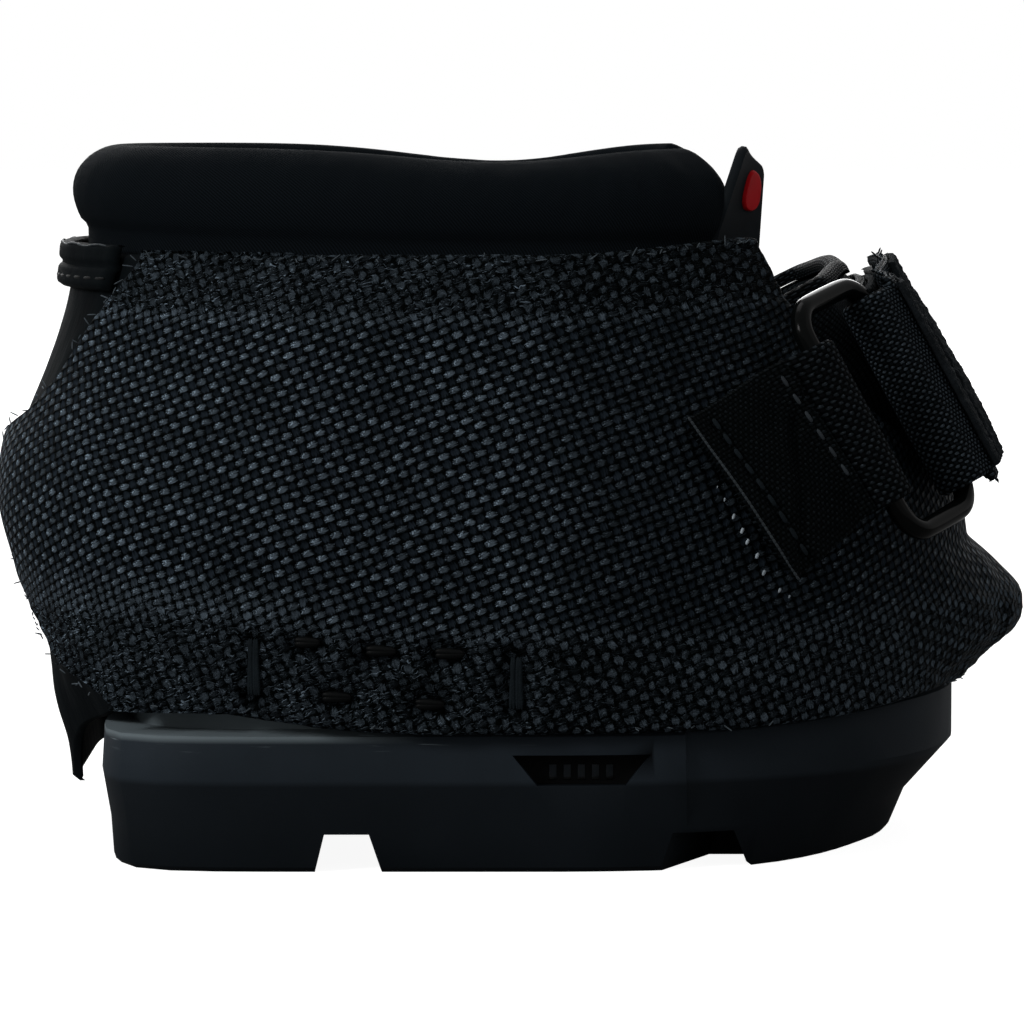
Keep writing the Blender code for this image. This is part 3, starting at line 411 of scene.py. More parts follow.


# plain weave of thick filament yarn: pillowed floats with gaps painted near black as shade, one set of
# threads painted paler as its sheen;
# where the mesh is marked pinch the weave is crushed into pulled strands; painted glints and the shade
# attribute's painted shade are laid on too
def wovenCloth(name, look):
    material, tree, shader = newMaterial(name)
    smooth = {"interpolation_type": "SMOOTHSTEP"}
    middle = (0.5, 0.5, 0.5)
    # each step: its name, its node or the Math node's operation, settings or earlier steps, and which output
    steps = [
        # the cloth's own millimetres, drawn a little out of true, in cells of one crossing each
        ("lie", "UVMap", {"uv_map": "cloth"}, "UV"),
        ("pinched", "Attribute", {"attribute_name": "pinch"}, "Fac"),
        ("shaded", "Attribute", {"attribute_name": "shade"}, "Fac"),
        ("turned", "Mapping", {
            "vector_type": "TEXTURE", "Rotation": (0, 0, math.radians(look["slant"])),
            "Scale": (look["pitch"] * look["long"], look["pitch"], 1), "Vector": "lie",
        }),
        ("soft", "TexNoise", {"Scale": look["waver"], "Detail": 1.0, "Vector": "lie"}, "Color"),
        ("fine", "TexNoise", {"Scale": look["crumple"], "Detail": 2.0, "Vector": "lie"}, "Color"),
        ("shiftSoft", "VectorMath", {"operation": "SUBTRACT", 0: "soft", 1: middle}),
        ("shiftFine", "VectorMath", {"operation": "SUBTRACT", 0: "fine", 1: middle}),
        ("pull", "MULTIPLY_ADD", {0: "pinched", 1: look["pinched"], 2: look["loose"]}),
        ("scaledSoft", "VectorMath", {"operation": "SCALE", 0: "shiftSoft", 3: look["drift"]}),
        ("scaledFine", "VectorMath", {"operation": "SCALE", 0: "shiftFine", 3: "pull"}),
        ("drifted", "VectorMath", {"operation": "ADD", 0: "turned", 1: "scaledSoft"}),
        ("moved", "VectorMath", {"operation": "ADD", 0: "drifted", 1: "scaledFine"}),
        ("p", "SeparateXYZ", {0: "moved"}, 0),
        ("q", "SeparateXYZ", {0: "moved"}, 1),
        ("cellP", "FLOOR", {0: "p"}),
        ("cellQ", "FLOOR", {0: "q"}),
        ("insideP", "SUBTRACT", {0: "p", 1: "cellP"}),
        ("insideQ", "SUBTRACT", {0: "q", 1: "cellQ"}),
        ("fracP", "SUBTRACT", {0: "insideP", 1: 0.5}),
        ("fracQ", "SUBTRACT", {0: "insideQ", 1: 0.5}),
        ("cells", "ADD", {0: "cellP", 1: "cellQ"}),
        ("even", "FLOORED_MODULO", {0: "cells", 1: 2.0}),
        ("sign", "MULTIPLY_ADD", {0: "even", 1: -2.0, 2: 1.0}),
    ]
    # each thread is round across and rises and dips along, the two sets by turns
    for thread, across, along, way in (("warp", "fracP", "fracQ", 1.0), ("weft", "fracQ", "fracP", -1.0)):
        steps += [
            (thread + "Share", "DIVIDE", {0: across, 1: look["yarn"] / 2}),
            (thread + "Square", "MULTIPLY", {0: thread + "Share", 1: thread + "Share"}),
            (thread + "Left", "SUBTRACT", {0: 1.0, 1: thread + "Square", "use_clamp": True}),
            (thread + "Section", "SQRT", {0: thread + "Left"}),
            (thread + "Angle", "MULTIPLY", {0: along, 1: math.pi}),
            (thread + "Wave", "COSINE", {0: thread + "Angle"}),
            (thread + "Way", "MULTIPLY", {0: thread + "Wave", 1: way}),
            (thread + "Rise", "MULTIPLY", {0: "sign", 1: thread + "Way"}),
            (thread + "Crimp", "MULTIPLY", {0: thread + "Rise", 1: look["crimp"]}),
            (thread, "MULTIPLY_ADD", {0: thread + "Section", 1: look["round"], 2: thread + "Crimp"}),
        ]
    steps += [
        ("height", "MAXIMUM", {0: "warp", 1: "weft"}),
        ("onTop", "GREATER_THAN", {0: "warp", 1: "weft"}),
        ("under", "SUBTRACT", {0: 1.0, 1: "onTop"}),
        # the filaments of each thread run along it
        ("alongWarp", "Mapping", {"Scale": (7.0, 1.6, 1.0), "Vector": "moved"}),
        ("alongWeft", "Mapping", {"Scale": (1.6, 7.0, 1.0), "Vector": "moved"}),
        ("warpHairs", "TexNoise", {"Scale": 1.0, "Detail": 1.0, "Vector": "alongWarp"}, "Fac"),
        ("weftHairs", "TexNoise", {"Scale": 1.0, "Detail": 1.0, "Vector": "alongWeft"}, "Fac"),
        ("warpHair", "MULTIPLY", {0: "warpHairs", 1: "onTop"}),
        ("weftHair", "MULTIPLY", {0: "weftHairs", 1: "under"}),
        ("hair", "ADD", {0: "warpHair", 1: "weftHair"}),
        ("laid", "MULTIPLY_ADD", {0: "hair", 1: look["hair"], 2: "height"}),
        # pulled strands where it is crushed
        ("pulledShift", "VectorMath", {"operation": "SCALE", 0: "shiftFine", 3: look["strandShift"]}),
        ("pulledPlace", "VectorMath", {"operation": "ADD", 0: "lie", 1: "pulledShift"}),
        ("pulled", "Mapping", {
            "vector_type": "TEXTURE", "Rotation": (0, 0, math.radians(look["strandTurn"])),
            "Scale": look["strandSize"], "Vector": "pulledPlace",
        }),
        ("strands", "TexNoise", {"Scale": 1.0, "Detail": 2.0, "Vector": "pulled"}, "Fac"),
        ("crushed", "MULTIPLY", {0: "pinched", 1: look["crush"]}),
        ("whole", "SUBTRACT", {0: 1.0, 1: "crushed"}),
        ("wholeRelief", "MULTIPLY", {0: "laid", 1: "whole"}),
        ("crushedRelief", "MULTIPLY", {0: "strands", 1: "crushed"}),
        ("relief", "MULTIPLY_ADD", {0: "crushedRelief", 1: look["strandRelief"], 2: "wholeRelief"}),
        ("bump", "Bump", {"Strength": 1.0, "Distance": look["relief"], "Height": "relief"}),
        # how bright each thread is: by chance from cell to cell, with glints painted in specks on its
        # upper-left side, and by patches and painted shade
        ("raised", "MULTIPLY_ADD", {0: "hair", 1: look["fray"], 2: "height"}),
        # painted shade: each thread darkens from its crown down into the gaps
        ("lit", "MapRange", {0: "raised", 1: look["dark"], 2: look["bright"], **smooth}),
        ("cell", "CombineXYZ", {0: "cellP", 1: "cellQ"}),
        ("chance", "TexWhiteNoise", {"noise_dimensions": "2D", 0: "cell"}, "Value"),
        ("patchy", "TexNoise", {"Scale": look["patchSize"], "Detail": 2.0, "Vector": "lie"}, "Fac"),
        ("specks", "TexNoise", {"Scale": look["speckSize"], "Detail": 1.0, "Vector": "lie"}, "Fac"),
        ("spark", "MapRange", {0: "specks", 1: look["speckFrom"], 2: look["speckFrom"] + 0.1, **smooth}),
        # painted highlight: glints go on the upper-left side of each float, toward the light
        ("slope", "SUBTRACT", {0: "fracQ", 1: "fracP"}),
        ("upper", "MapRange", {0: "slope", 1: -0.15, 2: 0.3, **smooth}),
        ("crownChance", "MULTIPLY_ADD", {0: "chance", 1: 0.7, 2: 0.3}),
        ("crown", "MULTIPLY", {0: "upper", 1: "crownChance"}),
        ("glints", "MULTIPLY", {0: "spark", 1: "crown"}),
        ("streaks", "MULTIPLY_ADD", {0: "hair", 1: look["streak"], 2: 1.0 - look["streak"] / 2}),
        ("bodyChance", "MULTIPLY_ADD", {0: "chance", 1: look["chance"], 2: look["body"]}),
        ("body", "MULTIPLY", {0: "bodyChance", 1: "streaks"}),
        ("weftShine", "MULTIPLY_ADD", {0: "glints", 1: look["glint"], 2: "body"}),
        # random patches, times the painted shade of the shade attribute
        ("patches", "MULTIPLY_ADD", {0: "patchy", 1: 1.2, 2: 0.4}),
        ("unshaded", "SUBTRACT", {0: 1.0, 1: "shaded"}),
        ("worn", "MULTIPLY", {0: "patches", 1: "unshaded"}),
        ("weftWorn", "MULTIPLY", {0: "weftShine", 1: "worn"}),
        ("weftLit", "MULTIPLY", {0: "weftWorn", 1: "under"}),
        ("warpChance", "MULTIPLY_ADD", {0: "chance", 1: 0.5, 2: 0.5}),
        ("warpShine", "MULTIPLY", {0: "streaks", 1: "warpChance"}),
        ("threadLit", "MULTIPLY_ADD", {0: "warpShine", 1: "onTop", 2: "weftLit"}),
        ("woven", "MULTIPLY", {0: "lit", 1: "threadLit"}),
        ("strandLit", "MapRange", {0: "strands", 1: look["strandDark"], 2: look["strandBright"], **smooth}),
        ("strandWorn", "MULTIPLY", {0: "strandLit", 1: "worn"}),
        ("strandPatches", "MULTIPLY_ADD", {0: "patchy", 1: 2.6, 2: -0.6}),
        ("pulledLit", "MULTIPLY", {0: "strandWorn", 1: "strandPatches"}),
        ("wholeLit", "MULTIPLY", {0: "woven", 1: "whole"}),
        ("light", "MULTIPLY_ADD", {0: "pulledLit", 1: "crushed", 2: "wholeLit", "use_clamp": True}),
        # the weft's paler colour is painted sheen; the warp keeps its dark colour
        ("warpSeen", "MULTIPLY", {0: "onTop", 1: "whole"}),
        ("thread", "Mix", {
            "data_type": "RGBA", 0: "warpSeen", 6: hexColour(look["weft"]), 7: hexColour(look["warp"]),
        }, 2),
        # the gaps take the gap colour, painted near black as the shade between the threads
        ("tone", "Mix", {"data_type": "RGBA", 0: "light", 6: hexColour(look["gapShade"]), 7: "thread"}, 2),
        ("rough", "MapRange", {0: "onTop", 3: look["weftRough"], 4: look["warpRough"]}),
    ]
    made = {}
    for step, kind, values, *output in steps:
        if kind.isupper():
            kind, values = "Math", {"operation": kind, **values}
        links = {key: made[value] for key, value in values.items() if value in made}
        settings = {key: value for key, value in values.items() if key not in links}
        node = addNode(tree, "ShaderNode" + kind, settings, links)
        made[step] = node.outputs[output[0] if output else 0]
    tree.links.new(made["tone"], shader.inputs["Base Color"])
    tree.links.new(made["rough"], shader.inputs["Roughness"])
    tree.links.new(made["bump"], shader.inputs["Normal"])
    shader.inputs["Specular IOR Level"].default_value = look["shine"]
    return material


# ballistic nylon: yarns 1.36 mm apart with floats of 1.7 mm, woven plain, 21 degrees off the boot's length
nylonLook = {
    "pitch": 1.36, "long": 1.25, "slant": 21.0, "waver": 0.05, "drift": 1.2, "crumple": 0.45, "pinched": 0.6,
    "loose": 0.25, "yarn": 0.86, "round": 0.55, "crimp": 0.35, "hair": 0.14, "relief": 0.0006,
    "dark": 0.84, "bright": 1.26, "fray": 0.80, "chance": 0.14, "body": 0.11, "streak": 1.0,
    "speckSize": 3.4, "speckFrom": 0.50, "glint": 1.1, "patchSize": 0.11,
    "crush": 0.8, "strandShift": 2.2, "strandTurn": 14.0, "strandSize": (1.0, 0.26, 1), "strandRelief": 1.8,
    "strandDark": 0.58, "strandBright": 0.74,
    # weft colour painted pale as its sheen, gap colour painted near black as shade
    "weft": "#73828f", "warp": "#191f25", "gapShade": "#010202",
    "weftRough": 0.5, "warpRough": 0.7, "shine": 0.008,
}
# narrow webbing of the strap and its tab, matt polyester, drawn a little coarser than it is
# in this look and those below, the weft is painted paler than the warp as its sheen
webbingLook = dict(
    nylonLook, pitch=0.75, long=1.0, slant=0.0, body=0.3, crumple=0.9, pinched=0.5, loose=0.3, relief=0.0003,
    weft="#2b3136", warp="#08090b",
)
# plain cloth of the tongue and the lining, too fine to show as more than a grain
liningLook = dict(
    nylonLook, pitch=0.6, long=1.0, slant=45.0, body=0.3, crumple=1.2, pinched=0.3, loose=0.2, relief=0.00008,
    weft="#1f2326", warp="#14171a", gapShade="#050606", weftRough=0.7, warpRough=0.75, shine=0.01,
)
# tape of the tail, tighter and paler than the strap, and the patch's smooth packcloth
tailLook = dict(webbingLook, pitch=0.62, body=0.45, weft="#3d454c", warp="#101417")
patchLook = dict(webbingLook, pitch=0.7, relief=0.00016, weft="#171b1e", warp="#090b0c")
tongueLook = dict(liningLook, weft="#2b3135", warp="#1c2024")


# smooth coated leather of the heel: dull, with fine creases
def heelLeather():
    material, tree, shader = newMaterial("smooth heel leather")
    place = addNode(tree, "ShaderNodeTexCoord").outputs["Object"]
    cells = addNode(tree, "ShaderNodeTexVoronoi", {"Scale": 1300.0, "feature": "DISTANCE_TO_EDGE"},
                    {"Vector": place})
    long = addNode(tree, "ShaderNodeMapping", {"Scale": (260.0, 260.0, 60.0)}, {"Vector": place}).outputs[0]
    crease = addNode(tree, "ShaderNodeTexNoise", {"Scale": 1.0, "Detail": 6.0}, {"Vector": long})
    tone = addNode(tree, "ShaderNodeMix", {"data_type": "RGBA"}, {0: crease.outputs["Fac"]})
    tone.inputs[6].default_value = hexColour("#040506")
    tone.inputs[7].default_value = hexColour("#0c1012")
    grain = addNode(tree, "ShaderNodeBump", {"Strength": 0.3, "Distance": 0.00008},
                    {"Height": cells.outputs["Distance"]})
    folds = addNode(tree, "ShaderNodeBump", {"Strength": 0.6, "Distance": 0.0005},
                    {"Height": crease.outputs["Fac"], "Normal": grain.outputs["Normal"]})
    tree.links.new(tone.outputs[2], shader.inputs["Base Color"])
    tree.links.new(folds.outputs["Normal"], shader.inputs["Normal"])
    shader.inputs["Roughness"].default_value = 0.62
    shader.inputs["Specular IOR Level"].default_value = 0.006
    return material


# warp-knit cover of the collar: fine twill lines that the render can just show
def collarKnit():
    material, tree, shader = newMaterial("collar knit")
    lie = addNode(tree, "ShaderNodeUVMap", {"uv_map": "cloth"}).outputs["UV"]
    turned = addNode(tree, "ShaderNodeMapping",
                     {"Rotation": (0, 0, math.radians(62)), "Scale": (2.2, 2.2, 1)},
                     {"Vector": lie}).outputs[0]
    lines = addNode(tree, "ShaderNodeTexWave", {"Scale": 0.5, "Distortion": 0.6, "Detail": 1.0},
                    {"Vector": turned})
    fuzz = addNode(tree, "ShaderNodeTexNoise", {"Scale": 3.0, "Detail": 3.0}, {"Vector": lie})
    tone = addNode(tree, "ShaderNodeMix", {"data_type": "RGBA"}, {0: lines.outputs["Fac"]})
    tone.inputs[6].default_value = hexColour("#050708")
    tone.inputs[7].default_value = hexColour("#0d1115")
    height = addNode(tree, "ShaderNodeMath", {"operation": "MULTIPLY_ADD", 1: 0.5},
                     {0: fuzz.outputs["Fac"], 2: lines.outputs["Fac"]})
    bump = addNode(tree, "ShaderNodeBump", {"Strength": 0.6, "Distance": 0.0001},
                   {"Height": height.outputs[0]})
    tree.links.new(tone.outputs[2], shader.inputs["Base Color"])
    tree.links.new(bump.outputs["Normal"], shader.inputs["Normal"])
    shader.inputs["Roughness"].default_value = 0.85
    shader.inputs["Specular IOR Level"].default_value = 0.01
    return material


def plainFinish(name, dark, light, roughness, shine, grain, relief):
    # one tone that wanders a little, over a fine grain: dark and light are its ends
    material, tree, shader = newMaterial(name)
    place = addNode(tree, "ShaderNodeTexCoord").outputs["Object"]
    wander = addNode(tree, "ShaderNodeTexNoise", {"Scale": 240.0, "Detail": 4.0}, {"Vector": place})
    fine = addNode(tree, "ShaderNodeTexNoise", {"Scale": grain, "Detail": 3.0}, {"Vector": place})
    tone = addNode(tree, "ShaderNodeMix", {"data_type": "RGBA"}, {0: wander.outputs["Fac"]})
    tone.inputs[6].default_value = hexColour(dark)
    tone.inputs[7].default_value = hexColour(light)
    bump = addNode(tree, "ShaderNodeBump", {"Strength": 0.6, "Distance": relief},
                   {"Height": fine.outputs["Fac"]})
    tree.links.new(tone.outputs[2], shader.inputs["Base Color"])
    tree.links.new(bump.outputs["Normal"], shader.inputs["Normal"])
    shader.inputs["Roughness"].default_value = roughness
    shader.inputs["Specular IOR Level"].default_value = shine
    return material


soleRubber = mouldedRubber()
quarterNylon = wovenCloth("ballistic nylon", nylonLook)
strapWebbing = wovenCloth("strap webbing", webbingLook)
tailTape = wovenCloth("woven tail tape", tailLook)
liningCloth = wovenCloth("foam-backed lining", liningLook)
tongueFabric = wovenCloth("tongue fabric", tongueLook)
leather = heelLeather()
knit = collarKnit()
patchCloth = wovenCloth("packcloth patch", patchLook)
threadPale = plainFinish("waxed thread", "#16191c", "#2b3034", 0.45, 0.06, 5000.0, 0.00005)
threadSlate = plainFinish("soft sewing twine", "#07090a", "#191f23", 0.7, 0.02, 2600.0, 0.0002)
threadTwist = plainFinish("twisted sewing thread", "#1d2225", "#4d555b", 0.5, 0.03, 2600.0, 0.0002)
# pale specks that stand in for glints: painted highlights
paintedGlintSpecks = plainFinish("pale specks for painted glints", "#5a646c", "#a9b2b9", 0.3, 0.1, 2600.0, 0.0001)
# pale filament for the patch's heat-cut edge, and for a painted highlight on the heel lip's top edge
cutEdgeAndHighlight = plainFinish("heat-cut edge and painted highlight", "#15181a", "#31373b", 0.4, 0.06, 3000.0, 0.00004)
threadBlack = plainFinish("bonded nylon thread", "#030404", "#070809", 0.45, 0.04, 5000.0, 0.00005)
pileBlack = plainFinish("loop pile", "#08090a", "#1b1f22", 0.95, 0.02, 2600.0, 0.0006)
hookBlack = plainFinish("hook tape", "#060708", "#101214", 0.5, 0.08, 1700.0, 0.0005)
ringMetal = plainFinish("black coated steel wire", "#030404", "#060707", 0.16, 0.03, 900.0, 0.00001)
tagRubber = plainFinish("tag rubber", "#0b0d0f", "#14181b", 0.6, 0.015, 2500.0, 0.00004)
redRubber = plainFinish("red rubber", "#7f070d", "#a30e16", 0.5, 0.02, 2500.0, 0.00003)
foamGrey = plainFinish("open-cell foam", "#2a2a2b", "#3c3c3d", 0.9, 0.1, 1500.0, 0.0004)
print("materials ready")


# the quarters: two cut sheets of nylon, each folded in along its hems and sewn down
quarter = {
    "cells": (320, 112),
    "edgeRound": 0.0013,
    "hemFold": 0.0021,
    "topHem": 0.0095,
    "lowHem": 0.0138,
    "topRows": (0.0021, 0.0071),
    "lowRows": (0.0034, 0.0122),
    "rowSink": 0.00038,
    "stitch": 0.0045,
    "dent": 0.0007,
    "pucker": 0.00034,
    "hemStep": 0.0012,
    "hemEnd": 125,
    "threadPit": 0.0011,
    "threadSwell": (0.0004, 0.0032, 0.0014),
    "toeDent": 0.0010,
    "cornerDent": 0.0011,
}
# the thick thread along the sole, on each side: centre ahead of the origin, height, length, and if it stands
soleStitches = (
    (-0.0396, 0.0326, 0.0092, True),
    (0.0002, 0.0302, 0.0086, True),
    (-0.0308, 0.0366, 0.0042, False),
    (-0.0196, 0.0353, 0.0046, False),
    (-0.0095, 0.0349, 0.0044, False),
    (-0.0265, 0.0280, 0.0046, False),
    (-0.0126, 0.0269, 0.0044, False),
)


def quarterPlace(u, v):
    seam = math.degrees(0.0004 / halfWidth)
    front = np.maximum(smoothCurve(v, quarterEdges["shares"], quarterEdges["front"]), seam)
    rear = np.minimum(smoothCurve(v, quarterEdges["rearShares"], quarterEdges["rear"]), 180 - seam)
    turn = mixed(front, rear, u)
    return turn, mixed(hemHeight(turn), topHeight(turn), v), front, rear


def aheadAt(turn):  # how far ahead of the origin a turn meets the boot's side
    return bootMiddle + halfWidth / np.tan(np.radians(np.clip(turn, 5, 175)))


def edgeRound(distance, radius):
    inside = np.clip(1 - distance / radius, 0, 1)
    return radius * (1 - np.sqrt(1 - inside * inside))


def hemShares(turn, height):
    low = height - hemHeight(turn)
    high = topHeight(turn) - height
    return low, high


def quarterRelief(turn, height, front, rear):
    across, up = clothDistance(turn, height)
    low, high = hemShares(turn, height)
    flat = flatPlace(across, up)
    relief = quarter["dent"] * speckle(flat, 32, 3.1) + quarter["dent"] * 0.35 * speckle(flat, 85, 8.4)
    inTop = 1 - eased((high - quarter["topHem"]) / 0.0015)
    inLow = 1 - eased((low - quarter["lowHem"]) / 0.002)
    crumple = speckle(flat, 330, 5.0) + 0.6 * speckle(flat, 640, 2.0)
    relief += quarter["pucker"] * crumple * np.maximum(inTop, inLow)
    for rows, distance in ((quarter["topRows"], high), (quarter["lowRows"], low)):
        for row in rows:
            beat = 0.7 + 0.3 * np.cos(2 * np.pi * across / quarter["stitch"])
            relief -= quarter["rowSink"] * beat * bell(distance - row, 0.0008)
    relief -= 0.0004 * bell(high - quarter["topHem"], 0.0009)
    corner = eased((turn - 112) / 22) * (1 - eased((height - 0.030) / 0.012))
    relief -= quarter["cornerDent"] * corner * np.abs(speckle(flat * np.array((1.0, 0.35, 1.0)), 260, 1.3))
    toe = bell(turn, 30) * bell(height - 0.036, 0.012)
    relief += quarter["toeDent"] * toe * speckle(flat, 150, 6.0)
    ahead = aheadAt(turn)
    swell, swellAt, swellWidth = quarter["threadSwell"]
    for middle, level, length, upright in soleStitches:
        wide, tall = (0.0011, length / 2) if upright else (length / 2, 0.0011)
        along = np.maximum(np.abs(ahead - middle) - wide, 0)
        near = np.hypot(along, np.maximum(np.abs(height - level) - tall, 0))
        relief -= quarter["threadPit"] * bell(near, quarter["threadPit"])
        relief += swell * bell(near - swellAt, swellWidth)
    radius = quarter["edgeRound"]
    frontGap = np.abs(clothDistance(front, height)[0] - across)
    rearGap = np.abs(clothDistance(rear, height)[0] - across)
    for distance in (low, high, frontGap, rearGap):
        relief -= edgeRound(distance, radius)
    return relief


def quarterDepth(turn, height):
    low, high = hemShares(turn, height)
    inLow = 1 - eased((low - quarter["lowHem"]) / quarter["hemStep"])
    inTop = 1 - eased((high - quarter["topHem"]) / quarter["hemStep"])
    fold = np.maximum(inLow, inTop)
    ending = 1 - eased((turn - quarter["hemEnd"]) / 3)
    return bootForm["nylon"] + quarter["hemFold"] * fold * ending


def makeQuarter(name, side, node):
    def outer(u, v):
        turn, height, front, rear = quarterPlace(u, v)
        return bootPoint(side * turn, height, quarterRelief(turn, height, front, rear))

    def inner(u, v):
        turn, height, *_ = quarterPlace(u, v)
        low, high = hemShares(turn, height)
        lift = edgeRound(low, 0.0012) + edgeRound(high, 0.0012)
        return bootPoint(side * turn, height, lift - quarterDepth(turn, height))

    def lie(u, v):
        turn, height, *_ = quarterPlace(u, v)
        across, up = clothDistance(turn, height)
        return -across, up

    def pinch(u, v):
        turn, height, *_ = quarterPlace(u, v)
        low, high = hemShares(turn, height)
        inTop = 1 - eased((high - quarter["topHem"] + 0.001) / 0.003)
        inLow = 1 - eased((low - quarter["lowHem"]) / 0.004)
        corner = eased((turn - 110) / 20) * (1 - eased((height - 0.034) / 0.014))
        inLow = inLow * (0.55 + 0.45 * eased((turn - 60) / 30))
        return np.clip(np.maximum(np.maximum(inTop, inLow), corner), 0, 1)

    def shade(u, v):  # painted shade: the cloth is darkened ahead of the boot's middle and around the sole stitches' ends, over random blotches
        turn, height, *_ = quarterPlace(u, v)
        across, up = clothDistance(turn, height)
        flat = flatPlace(across, up * 0.6)
        shadeAndBlotches = 0.66 * (1 - eased((turn - 82) / 15)) + 0.22 * speckle(flat, 45, 4.4)
        ahead = aheadAt(turn)
        for middle, level, length, upright in soleStitches:
            ends = (level - length / 2, level + length / 2) if upright else (level, level)
            for end in ends:
                wide, tall = (0.0021, 0.0013) if upright else (length * 0.62, 0.0015)
                far = ((ahead - middle) / wide) ** 2 + ((height - end) / tall) ** 2
                # painted shade in the pits where the sole stitches sink in
                shadeAndBlotches = np.maximum(shadeAndBlotches, np.exp(-far * far * 0.5))
        return np.minimum(shadeAndBlotches, 1)

    piece = sewnSheet(name, quarter["cells"], outer, inner, lie, quarterNylon, pinch, 50, shade)
    return settled(piece, "root", "quarter_nylon", node)


nearQuarter = makeQuarter("nearQuarter", 1, "near_quarter")
farQuarter = makeQuarter("farQuarter", -1, "far_quarter")
print("quarters ready")

# the ring's frame on the boot, and what hangs on it
ringForm = {
    "turn": 40.2, "height": 0.0692, "lean": 14.0, "lift": 0.0056, "wire": 0.0036, "width": 0.0240,
    "tabLean": 31.0, "tabShare": 0.93, "tabLength": 0.0235, "tabWidth": 0.0275, "tabWebbing": 0.0015,
    "patchWall": 0.0014, "patchMargin": 0.0012, "patch": (0.022, 0.030), "patchDent": 0.00025,
    "patchFold": 0.0005, "tabAround": 0.052, "tabEdge": 0.0006,
}
strapForm = {
    "width": 0.0342, "height": 0.0747, "webbing": 0.0016, "reach": 0.0025, "blend": 0.0120, "slack": 0.0005,
    "anchor": 0.0240, "pile": 0.0012, "hook": 0.0012, "fuzz": 0.0010, "hinge": -60.0, "share": 0.906,
    "proud": 0.0010, "step": 0.0040, "tail": 0.0500, "spread": 1.08, "hookLength": 0.0300,
    "fuzzLength": 0.0120, "band": 0.0050, "edge": 0.0007, "seam": 0.0024, "foldAround": 0.016,
    "frontPile": 0.0240, "hingeGap": 0.0005,
    "floorTurns": (-90.0, -60.0, -42.0, -30.0, -15.0, 0.0, 15.0, 24.0),
    "floorShares": (0.0, 0.0, 0.25, 0.55, 0.9, 1.0, 0.68, 0.2),
    "dropTurns": (-90.0, -75.0, -60.0, -40.0, -20.0, 0.0, 20.0, 34.0),
    "dropShares": (0.55, 0.44, 0.31, 0.155, 0.04, 0.0, 0.035, 0.10),
}
ringLift, wireWidth, tabWebbing, tabWidth, tabLength = [
    ringForm[key] for key in ("lift", "wire", "tabWebbing", "tabWidth", "tabLength")
]
webbingWall, strapWidth, foldReach = strapForm["webbing"], strapForm["width"], strapForm["reach"]
_, ringOnward, wallUp, ringOut = bootFrame(ringForm["turn"], ringForm["height"])
ringLean = math.radians(ringForm["lean"])
ringUp = wallUp * math.cos(ringLean) + ringOnward * math.sin(ringLean)
ringAcross = np.cross(ringOut, ringUp)
ringAcross *= -1 if np.dot(ringAcross, ringOnward) > 0 else 1
ringMiddle = bootPoint(ringForm["turn"], ringForm["height"], ringLift)
barsApart = (ringForm["width"] - wireWidth) / 2
tabBar = ringMiddle - ringAcross * barsApart
strapBar = ringMiddle + ringAcross * barsApart
foldRadius = wireWidth / 2 + gap + strapForm["slack"]


def barTurn(bar):
    return math.degrees(math.atan2(-bar[1], bar[0] - bootMiddle))


def barReach(bar):
    return math.hypot(bar[0] - bootMiddle, bar[1])


def spread(values):
    return np.asarray(values, float)[..., None]


def tabPoint(distance, level, across):  # behind the tab bar: in the ring's frame, then on the boot
    lift = level - ringLift
    straight = tabBar - ringAcross * spread(distance) + ringUp * spread(across) + ringOut * spread(lift)
    lean = math.radians(ringForm["tabLean"])
    onward = distance * math.cos(lean) + across * math.sin(lean)
    upward = across * math.cos(lean) - distance * math.sin(lean)
    turn = barTurn(tabBar) + np.degrees(onward / barReach(tabBar))
    laid = bootPoint(turn, tabBar[2] + upward * ringForm["tabShare"], level)
    share = eased((distance - wireWidth) / (tabLength / 3))
    return mixed(straight, laid, spread(share))


strapReach = barReach(strapBar) - ringLift
hingeDistance = math.radians(barTurn(strapBar) - strapForm["hinge"]) * strapReach


def strapFloor(turn):
    return gap + strapForm["proud"] * smoothCurve(turn, strapForm["floorTurns"], strapForm["floorShares"])


def strapMiddle(turn):
    drop = smoothCurve(turn, strapForm["dropTurns"], strapForm["dropShares"])
    return strapForm["height"] - strapWidth * drop


def strapPoint(distance, level, foldLevel, across):  # past the strap bar; across runs from -1 to 1
    distance, level, foldLevel, across = np.broadcast_arrays(distance, level, foldLevel, across)
    width = across * strapWidth / 2
    straight = strapBar + ringAcross * spread(distance) + ringUp * spread(width) + ringOut * spread(foldLevel)
    middle = barTurn(strapBar) - np.degrees(distance / strapReach)
    step = math.degrees(strapForm["step"] / strapReach)
    lean = np.arctan2(strapMiddle(middle - step) - strapMiddle(middle + step), 2 * strapForm["step"])
    turn = middle + np.degrees(width * np.sin(lean) / strapReach)
    height = strapMiddle(middle) + width * np.cos(lean) * strapForm["share"]
    laid = bootPoint(turn, height, strapFloor(turn) + level)
    share = eased((distance - foldReach) / strapForm["blend"])
    return mixed(straight, laid, spread(share))


def softEdges(u, v, length, width, radius):  # how far a sheet's face rounds in at its four edges
    fall = 0
    for distance in (u * length, (1 - u) * length, v * width, (1 - v) * width):
        fall = fall + edgeRound(distance, radius)
    return fall


def sideEdges(v, width, radius):  # the same at two opposite edges
    return edgeRound(v * width, radius) + edgeRound((1 - v) * width, radius)


